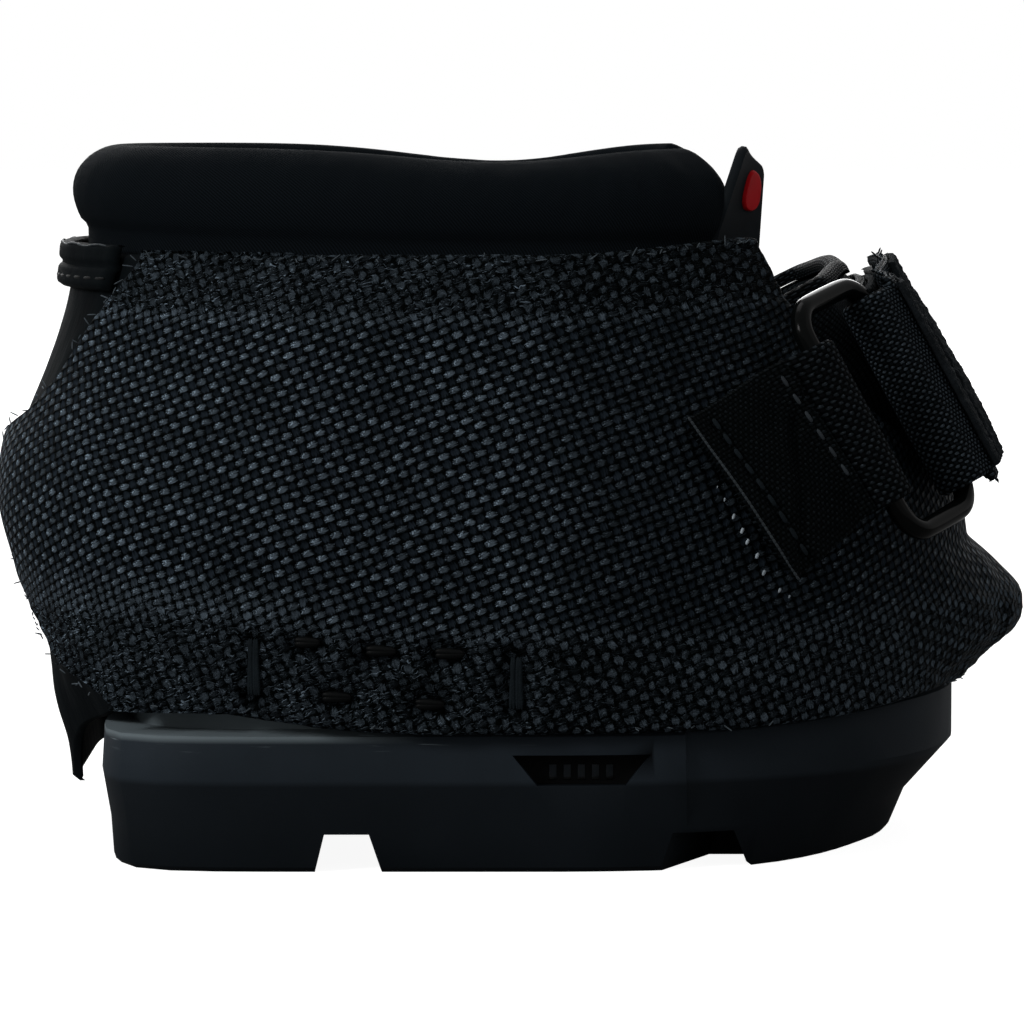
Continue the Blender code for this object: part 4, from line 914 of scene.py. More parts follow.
def sewnStitches(name, starts, ends, outs, radius, material, squash=0.75):
    # one stitch is modelled, copied to each place with its own mesh, and the copies joined
    deselectAll()
    bpy.ops.mesh.primitive_uv_sphere_add(segments=8, ring_count=6, radius=1)
    seed = bpy.context.active_object
    shape = meshPoints(seed)
    shape[:, 2] = np.sign(shape[:, 2]) * np.abs(shape[:, 2]) ** 0.6
    pieces = []
    for start, end, out in zip(starts, ends, outs):
        half = (end - start) / 2
        side = unit(np.cross(out, half))
        over = unit(np.cross(half, side))
        piece = seed.copy()
        piece.data = seed.data.copy()
        bpy.context.collection.objects.link(piece)
        points = (start + end) / 2 + shape[:, 2:] * half + shape[:, :1] * side * radius
        setPoints(piece, points + shape[:, 1:2] * over * radius * squash)
        pieces.append(piece)
    bpy.data.objects.remove(seed)
    deselectAll()
    for piece in pieces:
        piece.select_set(True)
    bpy.context.view_layer.objects.active = pieces[0]
    bpy.ops.object.join()
    piece = bpy.context.active_object
    piece.name = name
    piece.data.name = name
    facesOutward(piece)
    piece.data.materials.clear()
    piece.data.materials.append(material)
    shadeByAngle(piece, 60)
    return piece


def stitchedLine(name, place, count, share, radius, material, body="root", squash=0.75):
    # count stitches along place(s, lift), s from 0 to 1, each filling a share of its pitch
    middles = (np.arange(count) + 0.5) / count
    half = share / count / 2
    starts = place(middles - half, 0.0)
    ends = place(middles + half, 0.0)
    outs = unit(place(middles, 0.001) - place(middles, 0.0))
    piece = sewnStitches(name, starts, ends, outs, radius, material, squash)
    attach(piece, body)
    return piece


# linings: foam-backed cloth that sags a little between its seams
lining = {
    "low": 0.0423, "high": 0.0840, "rear": 133.5, "set": 3.0, "wall": 0.0039, "sag": 0.0005,
    "edges": (0.12, 0.05, 0.001),
}


def makeLining(name, side, node):
    def place(u, v):
        height = mixed(lining["low"], lining["high"], v)
        front = np.maximum(frontTurn(height) + lining["set"], 1.0)
        return side * mixed(front, lining["rear"], u), height

    def outer(u, v):
        turn, height = place(u, v)
        return bootPoint(turn, height, -innerLayer - softEdges(u, v, *lining["edges"]), "inner")

    def inner(u, v):
        turn, height = place(u, v)
        flat = flatPlace(turn / 50, height * 20)
        sag = lining["sag"] * speckle(flat, 3.0, 4.0) * np.minimum(1, 8 * v * (1 - v))
        level = sag - innerLayer - lining["wall"] + softEdges(u, v, *lining["edges"])
        return bootPoint(turn, height, level, "inner")

    def lie(u, v):
        return clothDistance(*place(u, v))

    piece = sewnSheet(name, (90, 36), outer, inner, lie, liningCloth)
    return settled(piece, "root", "lining_cloth", node)


nearLining = makeLining("nearLining", 1, "near_lining")
farLining = makeLining("farLining", -1, "far_lining")

# heel: a smooth sheet inside the quarters, its tail cut narrow behind the sole, and its lip folded over
heelForm = {
    "low": 0.0102, "high": 0.0962, "tail": 21.0, "wall": 0.0014, "crease": 0.0007,
    "heights": (0.0102, 0.0180, 0.0245, 0.0300), "lipSpan": 25.5, "lipHeight": 0.0072, "lipWall": 0.0018,
    "tuck": 0.0019, "cornerTuck": 0.0050, "cutRise": 0.0002, "size": (0.06, 0.085),
    "lipSize": (0.055, 0.0072),
}


def heelPlace(u, v):
    height = mixed(heelForm["low"], heelForm["high"], v)
    tail = heelForm["tail"]
    span = smoothCurve(height, heelForm["heights"], (tail, tail * 1.15, 38.0, 45.5))
    return 180 + mixed(-span, span, u), height


def heelCrease(turn, height):
    flat = flatPlace(np.radians(aroundToe(turn - 180)) * 0.08, height * 0.30)
    low = 1 - eased((height - 0.030) / 0.030)
    folds = np.abs(speckle(flat, 150, 2.2)) - 0.4
    return heelForm["crease"] * (0.35 + 0.6 * low) * folds * (0.25 + 0.75 * eased((height - 0.014) / 0.014))


def heelTuck(turn, height):  # the cut end leans in to the sole, and most at its corners
    corner = eased((np.abs(aroundToe(turn - 180)) - 18) / 14) * (1 - eased((height - 0.020) / 0.014))
    end = 1 - eased((height - heelForm["low"]) / 0.016)
    return heelForm["tuck"] * end + heelForm["cornerTuck"] * corner


def heelLevel(turn, height):
    return np.minimum(heelCrease(turn, height), heelForm["cutRise"]) - innerLayer - heelTuck(turn, height)


def heelOuter(u, v):
    turn, height = heelPlace(u, v)
    level = heelLevel(turn, height)
    return bootPoint(turn, height, level - softEdges(u, v, *heelForm["size"], 0.0008), "inner")


def heelInner(u, v):
    turn, height = heelPlace(u, v)
    level = heelLevel(turn, height) - heelForm["wall"]
    return bootPoint(turn, height, level + softEdges(u, v, *heelForm["size"], 0.0004), "inner")


def heelLie(u, v):
    return clothDistance(*heelPlace(u, v))


heelPanel = sewnSheet("heelPanel", (120, 130), heelOuter, heelInner, heelLie, leather)
settled(heelPanel, "root", "heel_leather", "heel_panel")


def lipPlace(u, v):
    top = upperHeight + 0.0004
    span = heelForm["lipSpan"]
    return 180 + mixed(-span, span, u), mixed(top - heelForm["lipHeight"], top, v)


def lipPoint(u, v, level):
    turn, height = lipPlace(u, v)
    flat = flatPlace(turn / 60, height * 30)
    groove = -0.0007 * bell(v - 0.52, 0.07)
    return bootPoint(turn, height, level + groove + 0.0003 * speckle(flat, 5.0, 7.0) - innerLayer)


lipFront = heelForm["lipWall"] + gap
heelLip = sewnSheet(
    "heelLip", (90, 20),
    lambda u, v: lipPoint(u, v, lipFront + 0.0003 - softEdges(u, v, *heelForm["lipSize"], 0.0011)),
    lambda u, v: lipPoint(u, v, gap + softEdges(u, v, *heelForm["lipSize"], 0.0005)),
    lambda u, v: clothDistance(*lipPlace(u, v)), leather,
)
settled(heelLip, "root", "heel_leather", "heel_lip")


def lipRow(s, lift):
    return lipPoint(s, s * 0 + 0.22, lipFront + 0.0002 + lift)


# a line of pale filament along the lip's top edge, painted as its highlight
def lipHighlightLine(s, lift):  # the cut edge wanders a little
    return lipPoint(0.04 + s * 0.92, 0.95 + 0.03 * np.sin(s * 40), lipFront + 0.0001 + lift)


stitchedLine("lipStitches", lipRow, 17, 0.7, 0.0003, threadBlack)
stitchedLine("lipEdgeHighlight", lipHighlightLine, 30, 1.15, 0.00016, cutEdgeAndHighlight)

# collar: a knit roll over foam, stuffed full, a little slack where it dips at the sides
collarForm = {
    "base": 0.0843, "top": 0.1127, "width": 0.0098, "skin": 0.0012, "swell": 0.0026, "rounding": 0.0072,
    "dip": 0.0013, "farDip": 0.0020, "dipTurn": 98.0, "dipSpan": 24.0, "length": 0.27, "slack": 0.0005,
    "turns": (66.0, 55.0, 47.5, 45.0),
    "outline": (
        (0.5, 0.0, 0.26), (0.95, 0.0, 0.44), (1.0, 0.0, 0.60), (0.7, 0.0, 0.76), (0.2, 0.03, 0.88),
        (0.0, 0.16, 0.95), (0.0, 0.34, 0.99), (0.0, 0.54, 1.0), (0.0, 0.76, 0.92), (0.0, 0.96, 0.72),
        (0.0, 1.0, 0.40), (0.0, 1.0, 0.0),
    ),
}


def collarOutline():
    base, top = collarForm["base"], collarForm["top"]
    points = [(cupLayer, base), (cupLayer, upperHeight + 0.0027)]
    for swell, width, rise in collarForm["outline"]:
        inset = cupLayer - collarForm["swell"] * swell + collarForm["width"] * width
        points.append((inset, mixed(upperHeight, top, rise)))
    points.append((cupLayer + collarForm["width"] * 0.9, base))
    points = np.array(points)
    places = np.concatenate(((0,), np.cumsum(np.linalg.norm(np.diff(points, axis=0), axis=1))))
    return places / places[-1], points


outlinePlaces, outlinePoints = collarOutline()


def collarRound(v):
    inset = smoothCurve(v, outlinePlaces, outlinePoints[:, 0])
    height = smoothCurve(v, outlinePlaces, outlinePoints[:, 1])
    return inset, height


def collarAlong(u):  # more of the grid's cells near the two ends
    return mixed(u, 0.5 - 0.5 * np.cos(np.pi * u), 0.7)


def collarPoint(u, v, depth):
    u = collarAlong(u)
    inset, height = collarRound(v)
    before = np.stack(collarRound(np.clip(v - 0.01, 0, 1)), -1)
    after = np.stack(collarRound(np.clip(v + 0.01, 0, 1)), -1)
    way = unit(after - before)
    inset = inset + way[..., 1] * depth
    height = height - way[..., 0] * depth
    ending = np.minimum(u, 1 - u) * collarForm["length"] / collarForm["rounding"]
    full = np.sqrt(np.clip(1 - (1 - np.clip(ending, 0, 1)) ** 2, 0.02, 1))
    middle = cupLayer + collarForm["width"] * 0.35
    above = eased((height - upperHeight) / 0.004)
    inset = mixed(middle, inset, mixed(1, full, above))
    centre = mixed(upperHeight, collarForm["top"], 0.45)
    height = np.where(height > centre, mixed(centre, height, full), height)
    levels = (collarForm["base"], upperHeight, mixed(upperHeight, collarForm["top"], 0.5),
              collarForm["top"])
    front = smoothCurve(height, levels, collarForm["turns"])
    turn = mixed(front, 360 - front, u)
    around = aroundToe(turn)
    deepest = np.where(around > 0, collarForm["dip"], collarForm["farDip"])
    dip = deepest * bell(np.abs(around) - collarForm["dipTurn"], collarForm["dipSpan"])
    share = np.maximum(0, height - upperHeight) / (collarForm["top"] - upperHeight)
    flat = flatPlace(np.radians(turn), v * 0.7)
    slack = collarForm["slack"] * (speckle(flat, 7.0, 1.0) + 0.5 * speckle(flat, 19.0, 2.0)) * share
    return bootPoint(turn, height - dip * share, slack - inset)


def collarLie(u, v):
    return collarAlong(u) * collarForm["length"], v * 0.052


collarCover = sewnSheet(
    "collarCover", (300, 64), lambda u, v: collarPoint(u, v, 0.0),
    lambda u, v: collarPoint(u, v, collarForm["skin"]), collarLie, knit, None, 70,
)
settled(collarCover, "root", "collar_knit", "collar_cover")
collarCore = copiedNode("collarCore", "collar_foam", foamGrey, 1, 60)
settled(collarCore, "root", "collar_foam", "collar_foam")
print("lining, heel and collar ready")

# tongue: one padded flap behind the opening, its top edge bound
tongueForm = {
    "base": 0.0440, "height": 0.0908, "wall": 0.0025, "foot": 30.0, "lap": 6.0, "set": 0.0072,
    "binding": 0.0020, "ripple": 0.0004, "edges": (0.09, 0.05, 0.001), "bindingEdge": 0.0012,
    "turns": (0.0, 15.0, 32.0, 45.0, 56.0), "shares": (1.0, 1.01, 0.99, 0.965, 0.95),
}


def tongueTop(turn):
    return tongueForm["height"] * smoothCurve(np.abs(turn), tongueForm["turns"], tongueForm["shares"])


def tongueLevel(turn, height):
    share = eased((frontTurn(height) - 4.0 - np.abs(turn)) / 10.0)
    proud = np.minimum(strapFloor(turn), strapFloor(-np.abs(turn))) - gap
    return mixed(-tongueForm["set"], proud, share)


def tonguePlace(u, v):
    height = mixed(tongueForm["base"], tongueForm["height"], v)
    span = np.maximum(tongueForm["foot"], frontTurn(height) + tongueForm["lap"])
    turn = mixed(-span, span, u)
    return turn, mixed(tongueForm["base"], tongueTop(turn), v)


def tonguePoint(u, v, level):
    turn, height = tonguePlace(u, v)
    flat = flatPlace(np.radians(turn), height * 12)
    ripple = tongueForm["ripple"] * (np.minimum(speckle(flat, 6.0, 9.0), 0) - 0.2)
    return bootPoint(turn, height, tongueLevel(turn, height) + level + ripple, "inner")


tonguePad = sewnSheet(
    "tonguePad", (120, 70),
    lambda u, v: tonguePoint(u, v, -softEdges(u, v, *tongueForm["edges"])),
    lambda u, v: tonguePoint(u, v, softEdges(u, v, *tongueForm["edges"]) - tongueForm["wall"]),
    lambda u, v: clothDistance(*tonguePlace(u, v)), tongueFabric,
)
settled(tonguePad, "tongue", "tongue_fabric", "tongue_pad")


def bindingPoint(u, v, level):
    span = frontTurn(np.full_like(u, tongueForm["height"])) + tongueForm["lap"]
    turn = mixed(-span, span, u)
    return bootPoint(turn, tongueTop(turn) + gap / 2 + v * tongueForm["binding"],
                     tongueLevel(turn, tongueTop(turn)) + level, "inner")


def bindingEdge(v):
    return edgeRound((1 - v) * tongueForm["binding"], tongueForm["bindingEdge"])


def bindingLie(u, v):
    return u * 0.09, v * 0.004


tongueBinding = sewnSheet(
    "tongueBinding", (120, 10),
    lambda u, v: bindingPoint(u, v, gap - bindingEdge(v)),
    lambda u, v: bindingPoint(
        u, v, bindingEdge(v) - tongueForm["wall"] - gap),
    bindingLie, strapWebbing,
)
settled(tongueBinding, "tongue", "binding", "tongue_binding")

# ring: drawn wire, its corners bent round, coated black
ringWire = copiedNode("ringWire", "ring", ringMetal, 2, 80)
settled(ringWire, "ring", "ring_wire", "ring")

# tab: webbing folded round the ring's back bar, a patch over it, and its stitches
wrapRadius = wireWidth / 2 + gap


# t runs from 0 at the lower layer's end, round the bar, to 1 at the upper layer's end
def tabPath(t, radius, low, high):
    under = np.clip(1 - t / 0.42, 0, 1)
    over = np.clip((t - 0.58) / 0.42, 0, 1)
    angle = -np.pi / 2 - np.pi * np.clip((t - 0.42) / 0.16, 0, 1)
    distance = np.where(t < 0.42, under * tabLength,
                        np.where(t > 0.58, over * tabLength, radius * np.cos(angle)))
    lowLevel = mixed(ringLift - radius, low, eased(under * 2))
    highLevel = mixed(ringLift + radius, high, eased(over * 2))
    around = ringLift + radius * np.sin(angle)
    return distance, np.where(t < 0.42, lowLevel, np.where(t > 0.58, highLevel, around))


def tabFace(u, v, outside, fall):
    under = gap + tabWebbing
    if outside:
        distance, level = tabPath(u, wrapRadius + tabWebbing - fall, gap, 2 * under)
    else:
        distance, level = tabPath(u, wrapRadius + fall, under, under + gap)
    return tabPoint(distance, level, (v - 0.5) * tabWidth)


def tabLie(u, v):
    return u * ringForm["tabAround"], v * tabWidth


ringTab = sewnSheet(
    "ringTab", (120, 40),
    lambda u, v: tabFace(u, v, True, sideEdges(v, tabWidth, ringForm["tabEdge"])),
    lambda u, v: tabFace(u, v, False, 0.0),
    tabLie, strapWebbing,
)
settled(ringTab, "root", "webbing", "ring_tab")
patchFloor = 4 * gap + 2 * tabWebbing
patchRise = ringLift + wrapRadius + tabWebbing + 2 * gap


def patchPoint(u, v, level):
    start = wireWidth + ringForm["patchMargin"] * 3
    distance = mixed(start, tabLength + ringForm["patchMargin"], u)
    floor = mixed(patchRise, patchFloor, eased(distance / tabLength * 2))
    across = mixed(-1, 1, v) * (tabWidth / 2 + ringForm["patchMargin"] * u)
    return tabPoint(distance, floor + level, across)


def patchFront(u, v):
    flat = flatPlace(u, v)
    dent = ringForm["patchDent"] * speckle(flat, 5.0, 3.0)
    crease = (v - 0.75) * 0.78 + u * 0.62
    dent = dent - ringForm["patchFold"] * bell(crease, 0.035) + 0.0003 * bell(crease - 0.09, 0.05)
    dent = dent - ringForm["patchFold"] * bell(u - 0.80, 0.05) - 0.0004 * bell(u - 0.12, 0.06)
    return patchPoint(u, v, ringForm["patchWall"] + dent - softEdges(u, v, *ringForm["patch"], 0.0007))


def patchLie(u, v):
    return u * ringForm["patch"][0], v * ringForm["patch"][1]


tabPatch = sewnSheet(
    "tabPatch", (90, 110), patchFront, lambda u, v: patchPoint(u, v, 0.0), patchLie, patchCloth,
)
settled(tabPatch, "root", "patch_nylon", "tab_patch")


def rowOnPatch(u, low=0.06, high=0.94):
    return lambda s, lift: patchPoint(u + s * 0, mixed(low, high, s), ringForm["patchWall"] + lift)


tabRow = stitchedLine("tabRow", rowOnPatch(0.80), 9, 0.72, 0.00040, threadSlate)
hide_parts("tab_stitching")
stitchedLine("patchEdge", rowOnPatch(0.99, 0.0, 1.0), 40, 1.2, 0.00024, cutEdgeAndHighlight)
stitchedLine("tabTacks", rowOnPatch(0.07, 0.22, 0.94), 6, 0.62, 0.00038, threadPale)
# pale specks painted as glints, along a row of needle holes behind the patch: turns and heights on the boot
patchHoles = (
    (66.0, 0.0602), (65.2, 0.0583), (64.2, 0.0558), (63.2, 0.0536), (62.6, 0.0519), (61.4, 0.0497),
    (60.6, 0.0470), (58.6, 0.0441), (57.3, 0.0430),
)
holeStarts = [bootPoint(turn + 0.2, height - 0.0005, -0.0001) for turn, height in patchHoles]
holeEnds = [bootPoint(turn - 0.2, height + 0.0004, 0.0001) for turn, height in patchHoles]
holeOuts = [bootFrame(turn, height)[3] for turn, height in patchHoles]
patchGlints = sewnStitches("patchGlints", holeStarts, holeEnds, holeOuts, 0.0003, paintedGlintSpecks)
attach(patchGlints, "root")

# strap: webbing over the instep, round the ring's front bar and back on itself
lowFold = -foldRadius - webbingWall
pileLevel = webbingWall + gap
hookLevel = pileLevel + strapForm["pile"] + gap
tailLevel = hookLevel + strapForm["hook"] + gap
fuzzLevel = tailLevel + webbingWall + gap


def strapSheet(name, start, end, level, wall, foldLevel, size, material, share=1.0, rough=0.0):
    length = end - start
    width = strapWidth * share
    edge = strapForm["edge"]

    def lay(u, v, lift):
        return strapPoint(mixed(start, end, u), level + lift, foldLevel + lift, mixed(-share, share, v))

    def outer(u, v):
        lift = wall - softEdges(u, v, length, width, edge)
        if rough:
            flat = flatPlace(u * length, v * width)
            lift = lift + rough * (speckle(flat, 900, 1.0) + 0.6 * speckle(flat, 1900, 2.0))
        return lay(u, v, lift)

    def inner(u, v):
        return lay(u, v, softEdges(u, v, length, width, edge * 0.5))

    return sewnSheet(name, size, outer, inner, lambda u, v: (mixed(start, end, u), v * width), material)


strapStart = foldReach
strapEnd = hingeDistance + strapForm["anchor"]
strapBand = strapSheet("strapBand", strapStart, strapEnd, 0.0, webbingWall, lowFold, (260, 48), strapWebbing)
hingeAt = strapPoint(hingeDistance, 0.0008, 0.0, 0.0)
hingeWay = unit(strapPoint(hingeDistance - 0.002, 0.0008, 0.0, 0.0) - hingeAt)
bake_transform(strapBand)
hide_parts("strap_base", "strap_anchor")

strapPile = strapSheet(
    "strapPile", strapStart + strapForm["blend"], hingeDistance - strapForm["anchor"], pileLevel,
    strapForm["pile"], lowFold + pileLevel, (220, 90), pileBlack, 0.94, 0.00025,
)
settled(strapPile, "strap", "loop_pile", "strap_loop_pile")


def foldFace(u, v, radius):
    angle = -np.pi / 2 - np.pi * np.clip((u - 0.2) / 0.6, 0, 1)
    onward = np.where(u > 0.8, foldReach * (u - 0.8) / 0.2, radius * np.cos(angle))
    distance = np.where(u < 0.2, foldReach * (1 - u / 0.2), onward)
    level = np.where(u < 0.2, -radius, np.where(u > 0.8, radius, radius * np.sin(angle)))
    width = (v - 0.5) * strapWidth
    return strapBar + ringAcross * spread(distance) + ringUp * spread(width) + ringOut * spread(level)


strapFold = sewnSheet(
    "strapFold", (60, 48),
    lambda u, v: foldFace(u, v, foldRadius + webbingWall - sideEdges(v, strapWidth, strapForm["edge"])),
    lambda u, v: foldFace(u, v, foldRadius),
    lambda u, v: ((u - 1) * strapForm["foldAround"], v * strapWidth), tailTape,
)
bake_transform(strapFold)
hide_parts("strap_fold")

tailStart = strapStart
tailEnd = tailStart + strapForm["hingeGap"] + strapForm["tail"]
tailSpread = strapForm["spread"]
tailWebbing = strapSheet("tailWebbing", tailStart, tailEnd, tailLevel, webbingWall, foldRadius, (150, 48),
                         tailTape, tailSpread)
settled(tailWebbing, "strap_tail", "webbing", "strap_tail")
tailHook = strapSheet(
    "tailHook", tailEnd - strapForm["hookLength"], tailEnd - strapForm["hingeGap"], hookLevel,
    strapForm["hook"], foldRadius - gap - strapForm["hook"], (90, 60), hookBlack, 0.92 * tailSpread, 0.00008,
)
settled(tailHook, "strap_tail", "hook_tape", "tail_hook_tape")
overLevel = foldRadius + webbingWall + gap
tailPatch = strapSheet(
    "tailPatch", tailStart + 0.001, tailStart + strapForm["fuzzLength"], fuzzLevel, strapForm["fuzz"],
    overLevel, (60, 120), pileBlack, 0.9 * tailSpread, 0.0003,
)
settled(tailPatch, "strap_tail", "loop_pile", "tail_patch")
frontStart = tailStart + strapForm["fuzzLength"] + strapForm["band"]
tailPile = strapSheet(
    "tailPile", frontStart, frontStart + strapForm["frontPile"], fuzzLevel, strapForm["fuzz"], overLevel,
    (100, 120), pileBlack, 0.96 * tailSpread, 0.0003,
)
settled(tailPile, "strap_tail", "loop_pile", "tail_pile")


def anchorBox(s, lift):
    low = hingeDistance + strapForm["seam"]
    high = strapEnd - strapForm["seam"]
    reach = 1 - 2 * strapForm["seam"] / strapWidth
    k = np.clip((s * 4).astype(int), 0, 3)
    way = s * 4 - k
    distance = np.select([k == 0, k == 1, k == 2, k == 3], [mixed(low, high, way), high + way * 0,
                                                            mixed(high, low, way), low + way * 0])
    across = np.select([k == 0, k == 1, k == 2, k == 3], [-reach + way * 0, mixed(-reach, reach, way),
                                                          reach + way * 0, mixed(reach, -reach, way)])
    return strapPoint(distance, webbingWall + lift, 0.0, across)


anchorStitches = stitchedLine("anchorStitches", anchorBox, 36, 0.7, 0.00042, threadBlack)
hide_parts("anchor_stitching")
print("strap, tab and tongue ready")


# thick thread through the hem and the sole's cup, sunk into the cloth: the upright ones are loose bundles
def makeSoleStitches(name, side, node, upright, strands, radius, material):
    starts, ends, outs = [], [], []
    for middle, level, length, standing in soleStitches:
        if standing != upright:
            continue
        for shift, twist in strands:
            ahead, heights = (middle - length / 2, middle + length / 2), (level + shift, level + twist)
            if upright:
                ahead, heights = (middle + shift, middle + twist), (level - length / 2, level + length / 2)
            turns = [side * math.degrees(math.atan2(halfWidth, x - bootMiddle)) for x in ahead]
            points = [bootPoint(turn, height, -0.0004) for turn, height in zip(turns, heights)]
            starts.append(points[0])
            ends.append(points[1])
            outs.append(bootFrame(turns[0], heights[0])[3])
    piece = sewnStitches(name, starts, ends, outs, radius, material, 0.7)
    settled(piece, "root", "sole_thread", node)


bundle = ((-0.0009, -0.0003), (-0.0004, -0.0006), (0.0001, 0.0002), (0.0004, 0.0006), (0.0008, 0.0003))
pair = ((0.0004, 0.0001), (-0.0003, -0.0001))
for side, place in ((1, "near"), (-1, "far")):
    node = place + "_sole_stitching"
    makeSoleStitches(place + "SoleThread", side, node, False, pair, 0.0007, threadBlack)
    makeSoleStitches(place + "SoleBars", side, node, True, bundle, 0.00042, threadSlate)

# loose threads: on the quarters' cut rear edges, along their hems, and at the strap's corners
fraying = {
    "rear": 60, "top": 50, "low": 40, "length": (0.0005, 0.0016), "radius": 0.00011, "tail": 70,
    "tailRadius": 0.00016, "seed": 11,
}
chances = np.random.default_rng(fraying["seed"])


def looseThreads(name, points, ways, outs, radius, material, body):
    starts, ends = [], []
    for point, way, out in zip(points, ways, outs):
        length = chances.uniform(*fraying["length"])
        lean = unit(way + 0.7 * chances.normal(size=3) + 0.3 * out)
        starts.append(point - lean * 0.0003)
        ends.append(point + lean * length)
    piece = sewnStitches(name, starts, ends, outs, radius, material, 1.0)
    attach(piece, body)
    return piece


def frayQuarter(name, side):
    points, ways, outs = [], [], []
    for share in chances.uniform(0.02, 0.98, fraying["rear"]):
        turn, height, *_ = quarterPlace(np.array([1.0]), np.array([share]))
        point, onward, up, out = bootFrame(side * turn[0], height[0])
        points.append(point)
        ways.append(onward * side)
        outs.append(out)
    for count, v, lift in ((fraying["top"], 1.0, -1), (fraying["low"], 0.0, 1)):
        for share in chances.uniform(0.02, 0.98, count):
            turn, height, *_ = quarterPlace(np.array([share]), np.array([v]))
            point, onward, up, out = bootFrame(side * turn[0], height[0] + lift * 0.0012)
            points.append(point)
            ways.append(onward * chances.choice((-1, 1)) + up * 0.3)
            outs.append(out)
    return looseThreads(name, points, ways, outs, fraying["radius"], threadTwist, "root")


frayQuarter("nearFraying", 1)
frayQuarter("farFraying", -1)

points, ways = [], []
for k in range(fraying["tail"]):
    side = (1, -1)[k % 2]
    reach = mixed(tailStart, tailEnd * 0.8, chances.uniform())
    levels = (fuzzLevel * 0.8, foldRadius + webbingWall * 0.5)
    at = strapPoint(reach, *levels, side * tailSpread * 0.98)
    points.append(at)
    ways.append(unit(strapPoint(reach, *levels, side * tailSpread * 1.02) - at))
outs = [ringOut] * len(points)
looseThreads("tailFraying", points, ways, outs, fraying["tailRadius"], threadSlate, "strap_tail")

# the sole and the small rubber parts are moulded: the same forms with their edges eased
# the drain slot lies between these places along and up, further in than the wall's face, and gets painted
# shade inside
soleForm = {
    "slot": {0: (-0.0012, 0.0216), 2: (0.0134, 0.0190)}, "slotIn": 0.0636, "slotShade": 0.97, "round": 0.00045,
}
soleBody = copiedNode("soleBody", "outsole", soleRubber, 0, 40)
applyModifier(soleBody, "BEVEL", {
    "width": soleForm["round"], "segments": 2, "limit_method": "ANGLE", "angle_limit": math.radians(38),
    "harden_normals": True,
})
# vertices inside the drain slot are marked for painted shade
spots = meshPoints(soleBody)
inSlot = np.abs(spots[:, 1]) < soleForm["slotIn"]
for axis, (low, high) in soleForm["slot"].items():
    inSlot &= (spots[:, axis] > low) & (spots[:, axis] < high)
setAttribute(soleBody, "slotShade", np.where(inSlot, soleForm["slotShade"], 0.0))
settled(soleBody, "root", "sole_rubber", "outsole")
tagForm = {
    "nearFoot": (0.0298, -0.0410, 0.0965), "nearTop": (0.0357, -0.0360, 0.1134),
    "farFoot": (0.0381, -0.0270, 0.0965), "farTop": (0.0390, -0.0240, 0.1097),
    "width": 0.0150, "height": 0.0165, "wall": 0.0018, "corner": 0.0022, "bend": 0.0007,
    "barLow": (0.44, 0.42), "barHigh": (0.86, 0.86), "barWall": 0.0006,
    "edge": 0.0005, "barEdges": (0.006, 0.007, 0.0004),
}
tagCorners = [np.array(tagForm[key]) for key in ("nearFoot", "nearTop", "farFoot", "farTop")]
tagNormal = unit(np.cross(tagCorners[2] - tagCorners[0], tagCorners[1] - tagCorners[0]))
tagNormal *= -1 if tagNormal[1] > 0 else 1


def roundedCorners(u, v, width, height, radius, corners):  # draws a grid's corners in to quarter circles
    a, b = u * width, v * height
    for atU, atV in corners:
        centreA = radius if atU == 0 else width - radius
        centreB = radius if atV == 0 else height - radius
        overA = (a - centreA) * (1 if atU else -1)
        overB = (b - centreB) * (1 if atV else -1)
        far = np.maximum(np.hypot(overA, overB), 1e-9)
        pull = np.where((overA > 0) & (overB > 0), np.maximum(overA, overB) / far, 1)
        a = centreA + (a - centreA) * pull
        b = centreB + (b - centreB) * pull
    return a / width, b / height


def tagPoint(u, v, level):
    near = mixed(tagCorners[0], tagCorners[1], spread(v))
    far = mixed(tagCorners[2], tagCorners[3], spread(v))
    return mixed(near, far, spread(u)) + tagNormal * spread(level + tagForm["bend"] * 4 * (u - 0.5) ** 2)


def tagFace(u, v, level):
    u, v = roundedCorners(u, v, tagForm["width"], tagForm["height"], tagForm["corner"], ((0, 1), (1, 1)))
    return tagPoint(u, v, level)


def tagEdges(u, v):
    return softEdges(u, v, tagForm["width"], tagForm["height"], tagForm["edge"])


def tagLie(u, v):
    return u * tagForm["width"], v * tagForm["height"]


def barFace(u, v, level):  # a plain raised bar where the real tag carries its mark
    low, high = tagForm["barLow"], tagForm["barHigh"]
    wide = (high[0] - low[0]) * tagForm["width"]
    tall = (high[1] - low[1]) * tagForm["height"]
    u, v = roundedCorners(u, v, wide, tall, wide * 0.45, ((0, 0), (0, 1), (1, 0), (1, 1)))
    return tagPoint(mixed(low[0], high[0], u), mixed(low[1], high[1], v), tagForm["wall"] / 2 + level)


rubberTag = sewnSheet(
    "rubberTag", (40, 44),
    lambda u, v: tagFace(u, v, tagForm["wall"] / 2 - tagEdges(u, v)),
    lambda u, v: tagFace(u, v, tagEdges(u, v) - tagForm["wall"] / 2),
    tagLie, tagRubber,
)
settled(rubberTag, "root", "tag_rubber", "label_tab")
redBar = sewnSheet(
    "redBar", (24, 28),
    lambda u, v: barFace(u, v, tagForm["barWall"] - softEdges(u, v, *tagForm["barEdges"])),
    lambda u, v: barFace(u, v, -0.0002), tagLie, redRubber,
)
settled(redBar, "root", "red_rubber", "label_inlay")
print("sole and thread ready")

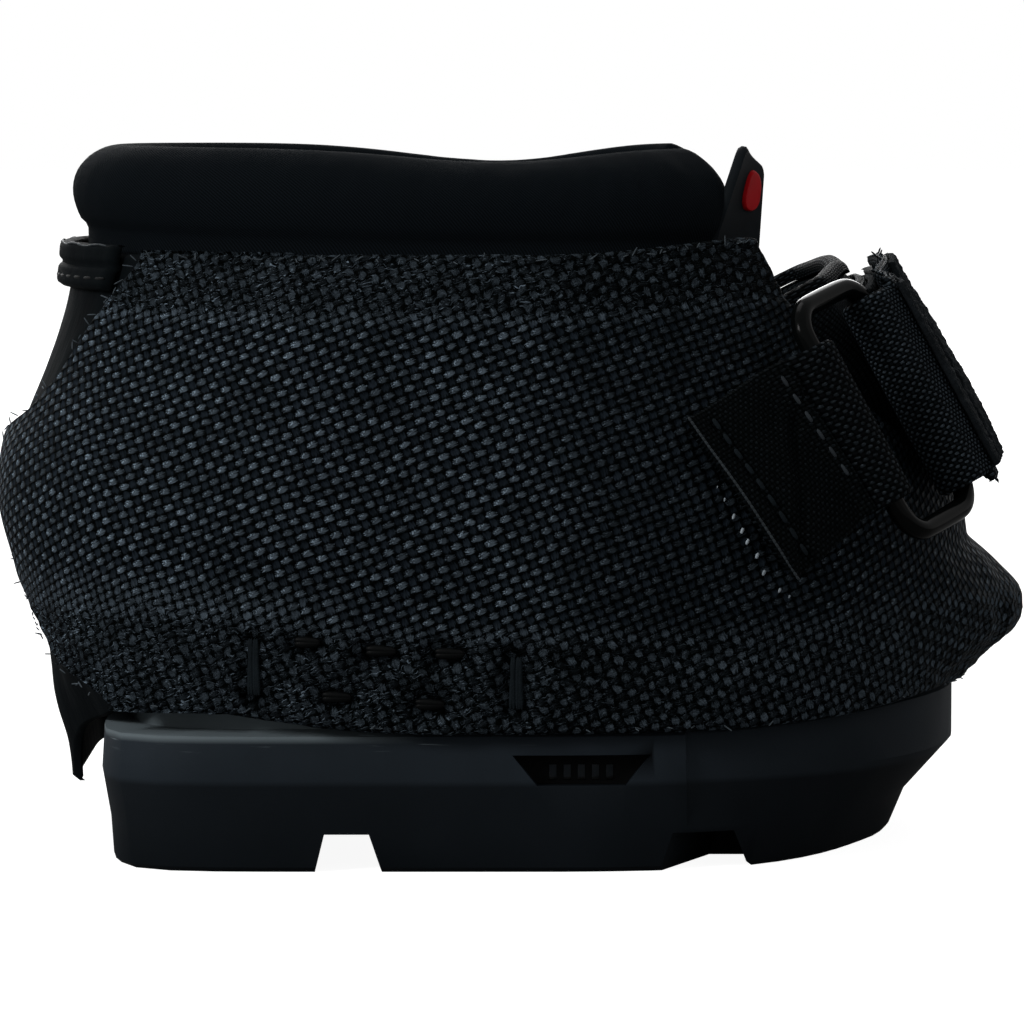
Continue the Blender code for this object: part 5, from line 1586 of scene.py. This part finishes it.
# studio: pale floor, soft lamps, and a camera with a long lens at the photograph's height
studio = {
    "eye": (-0.00065, -0.920, 0.125),
    "pitch": 4.57,
    "lens": 194.4,
    "world": 0.44,
    "floor": 0.32,
    "background": 0.93,
    "key": ((-1.15, -0.85, 0.70), 0.40, 14.0),
    "fill": ((1.1, -0.5, 0.9), 0.8, 1.0),
    "top": ((-0.3, 0.25, 1.2), 0.6, 4.0),
    "rear": ((-0.1, 1.5, 0.75), 1.2, 22.0),
}
world = bpy.data.worlds.new("studio light")
bpy.context.scene.world = world
world.use_nodes = True
tree = world.node_tree
tree.nodes.clear()
path = addNode(tree, "ShaderNodeLightPath")
seen = addNode(tree, "ShaderNodeMath", {"operation": "MAXIMUM"},
               {0: path.outputs["Is Camera Ray"], 1: path.outputs["Is Glossy Ray"]})
seen = addNode(tree, "ShaderNodeMath", {"operation": "MAXIMUM"},
               {0: seen.outputs[0], 1: path.outputs["Is Transmission Ray"]})
glow = addNode(tree, "ShaderNodeBackground", {"Color": (1, 1, 1, 1), "Strength": studio["world"]})
white = addNode(tree, "ShaderNodeBackground", {"Color": (1, 1, 1, 1), "Strength": 1.0})
both = addNode(tree, "ShaderNodeMixShader", None,
               {0: seen.outputs[0], 1: glow.outputs[0], 2: white.outputs[0]})
addNode(tree, "ShaderNodeOutputWorld", None, {"Surface": both.outputs[0]})

deselectAll()
bpy.ops.mesh.primitive_plane_add(size=12, location=(0, 0, 0))
floor = bpy.context.active_object
floor.name = "studioFloor"
floorMaterial, tree, shader = newMaterial("pale studio floor")
shader.inputs["Base Color"].default_value = (*[studio["floor"]] * 3, 1)
shader.inputs["Roughness"].default_value = 0.9
shader.inputs["Specular IOR Level"].default_value = 0.0
path = addNode(tree, "ShaderNodeLightPath")
lift = addNode(tree, "ShaderNodeEmission", {"Strength": studio["background"]})
none = addNode(tree, "ShaderNodeEmission", {"Strength": 0.0})
seen = addNode(tree, "ShaderNodeMixShader", None,
               {0: path.outputs["Is Camera Ray"], 1: none.outputs[0], 2: lift.outputs[0]})
total = addNode(tree, "ShaderNodeAddShader", None, {0: shader.outputs[0], 1: seen.outputs[0]})
tree.links.new(total.outputs[0], tree.nodes["Material Output"].inputs["Surface"])
floor.data.materials.append(floorMaterial)

for name in ("key", "fill", "top", "rear"):
    spot, size, power = studio[name]
    bpy.ops.object.light_add(type="AREA", location=spot)
    lamp = bpy.context.active_object
    lamp.name = name + "Lamp"
    lamp.data.size = size
    lamp.data.energy = power
    lamp.rotation_euler = (Vector((0, 0, 0.05)) - Vector(spot)).to_track_quat("-Z", "Y").to_euler()

bpy.ops.object.camera_add(location=studio["eye"], rotation=(math.radians(90 - studio["pitch"]), 0, 0))
camera = bpy.context.active_object
camera.name = "photographView"
camera.data.lens = studio["lens"]
camera.data.sensor_width = 36
camera.data.clip_start = 0.01
camera.data.clip_end = 50
bpy.context.scene.camera = camera
bpy.context.scene.view_settings.view_transform = "Standard"
print("studio ready")
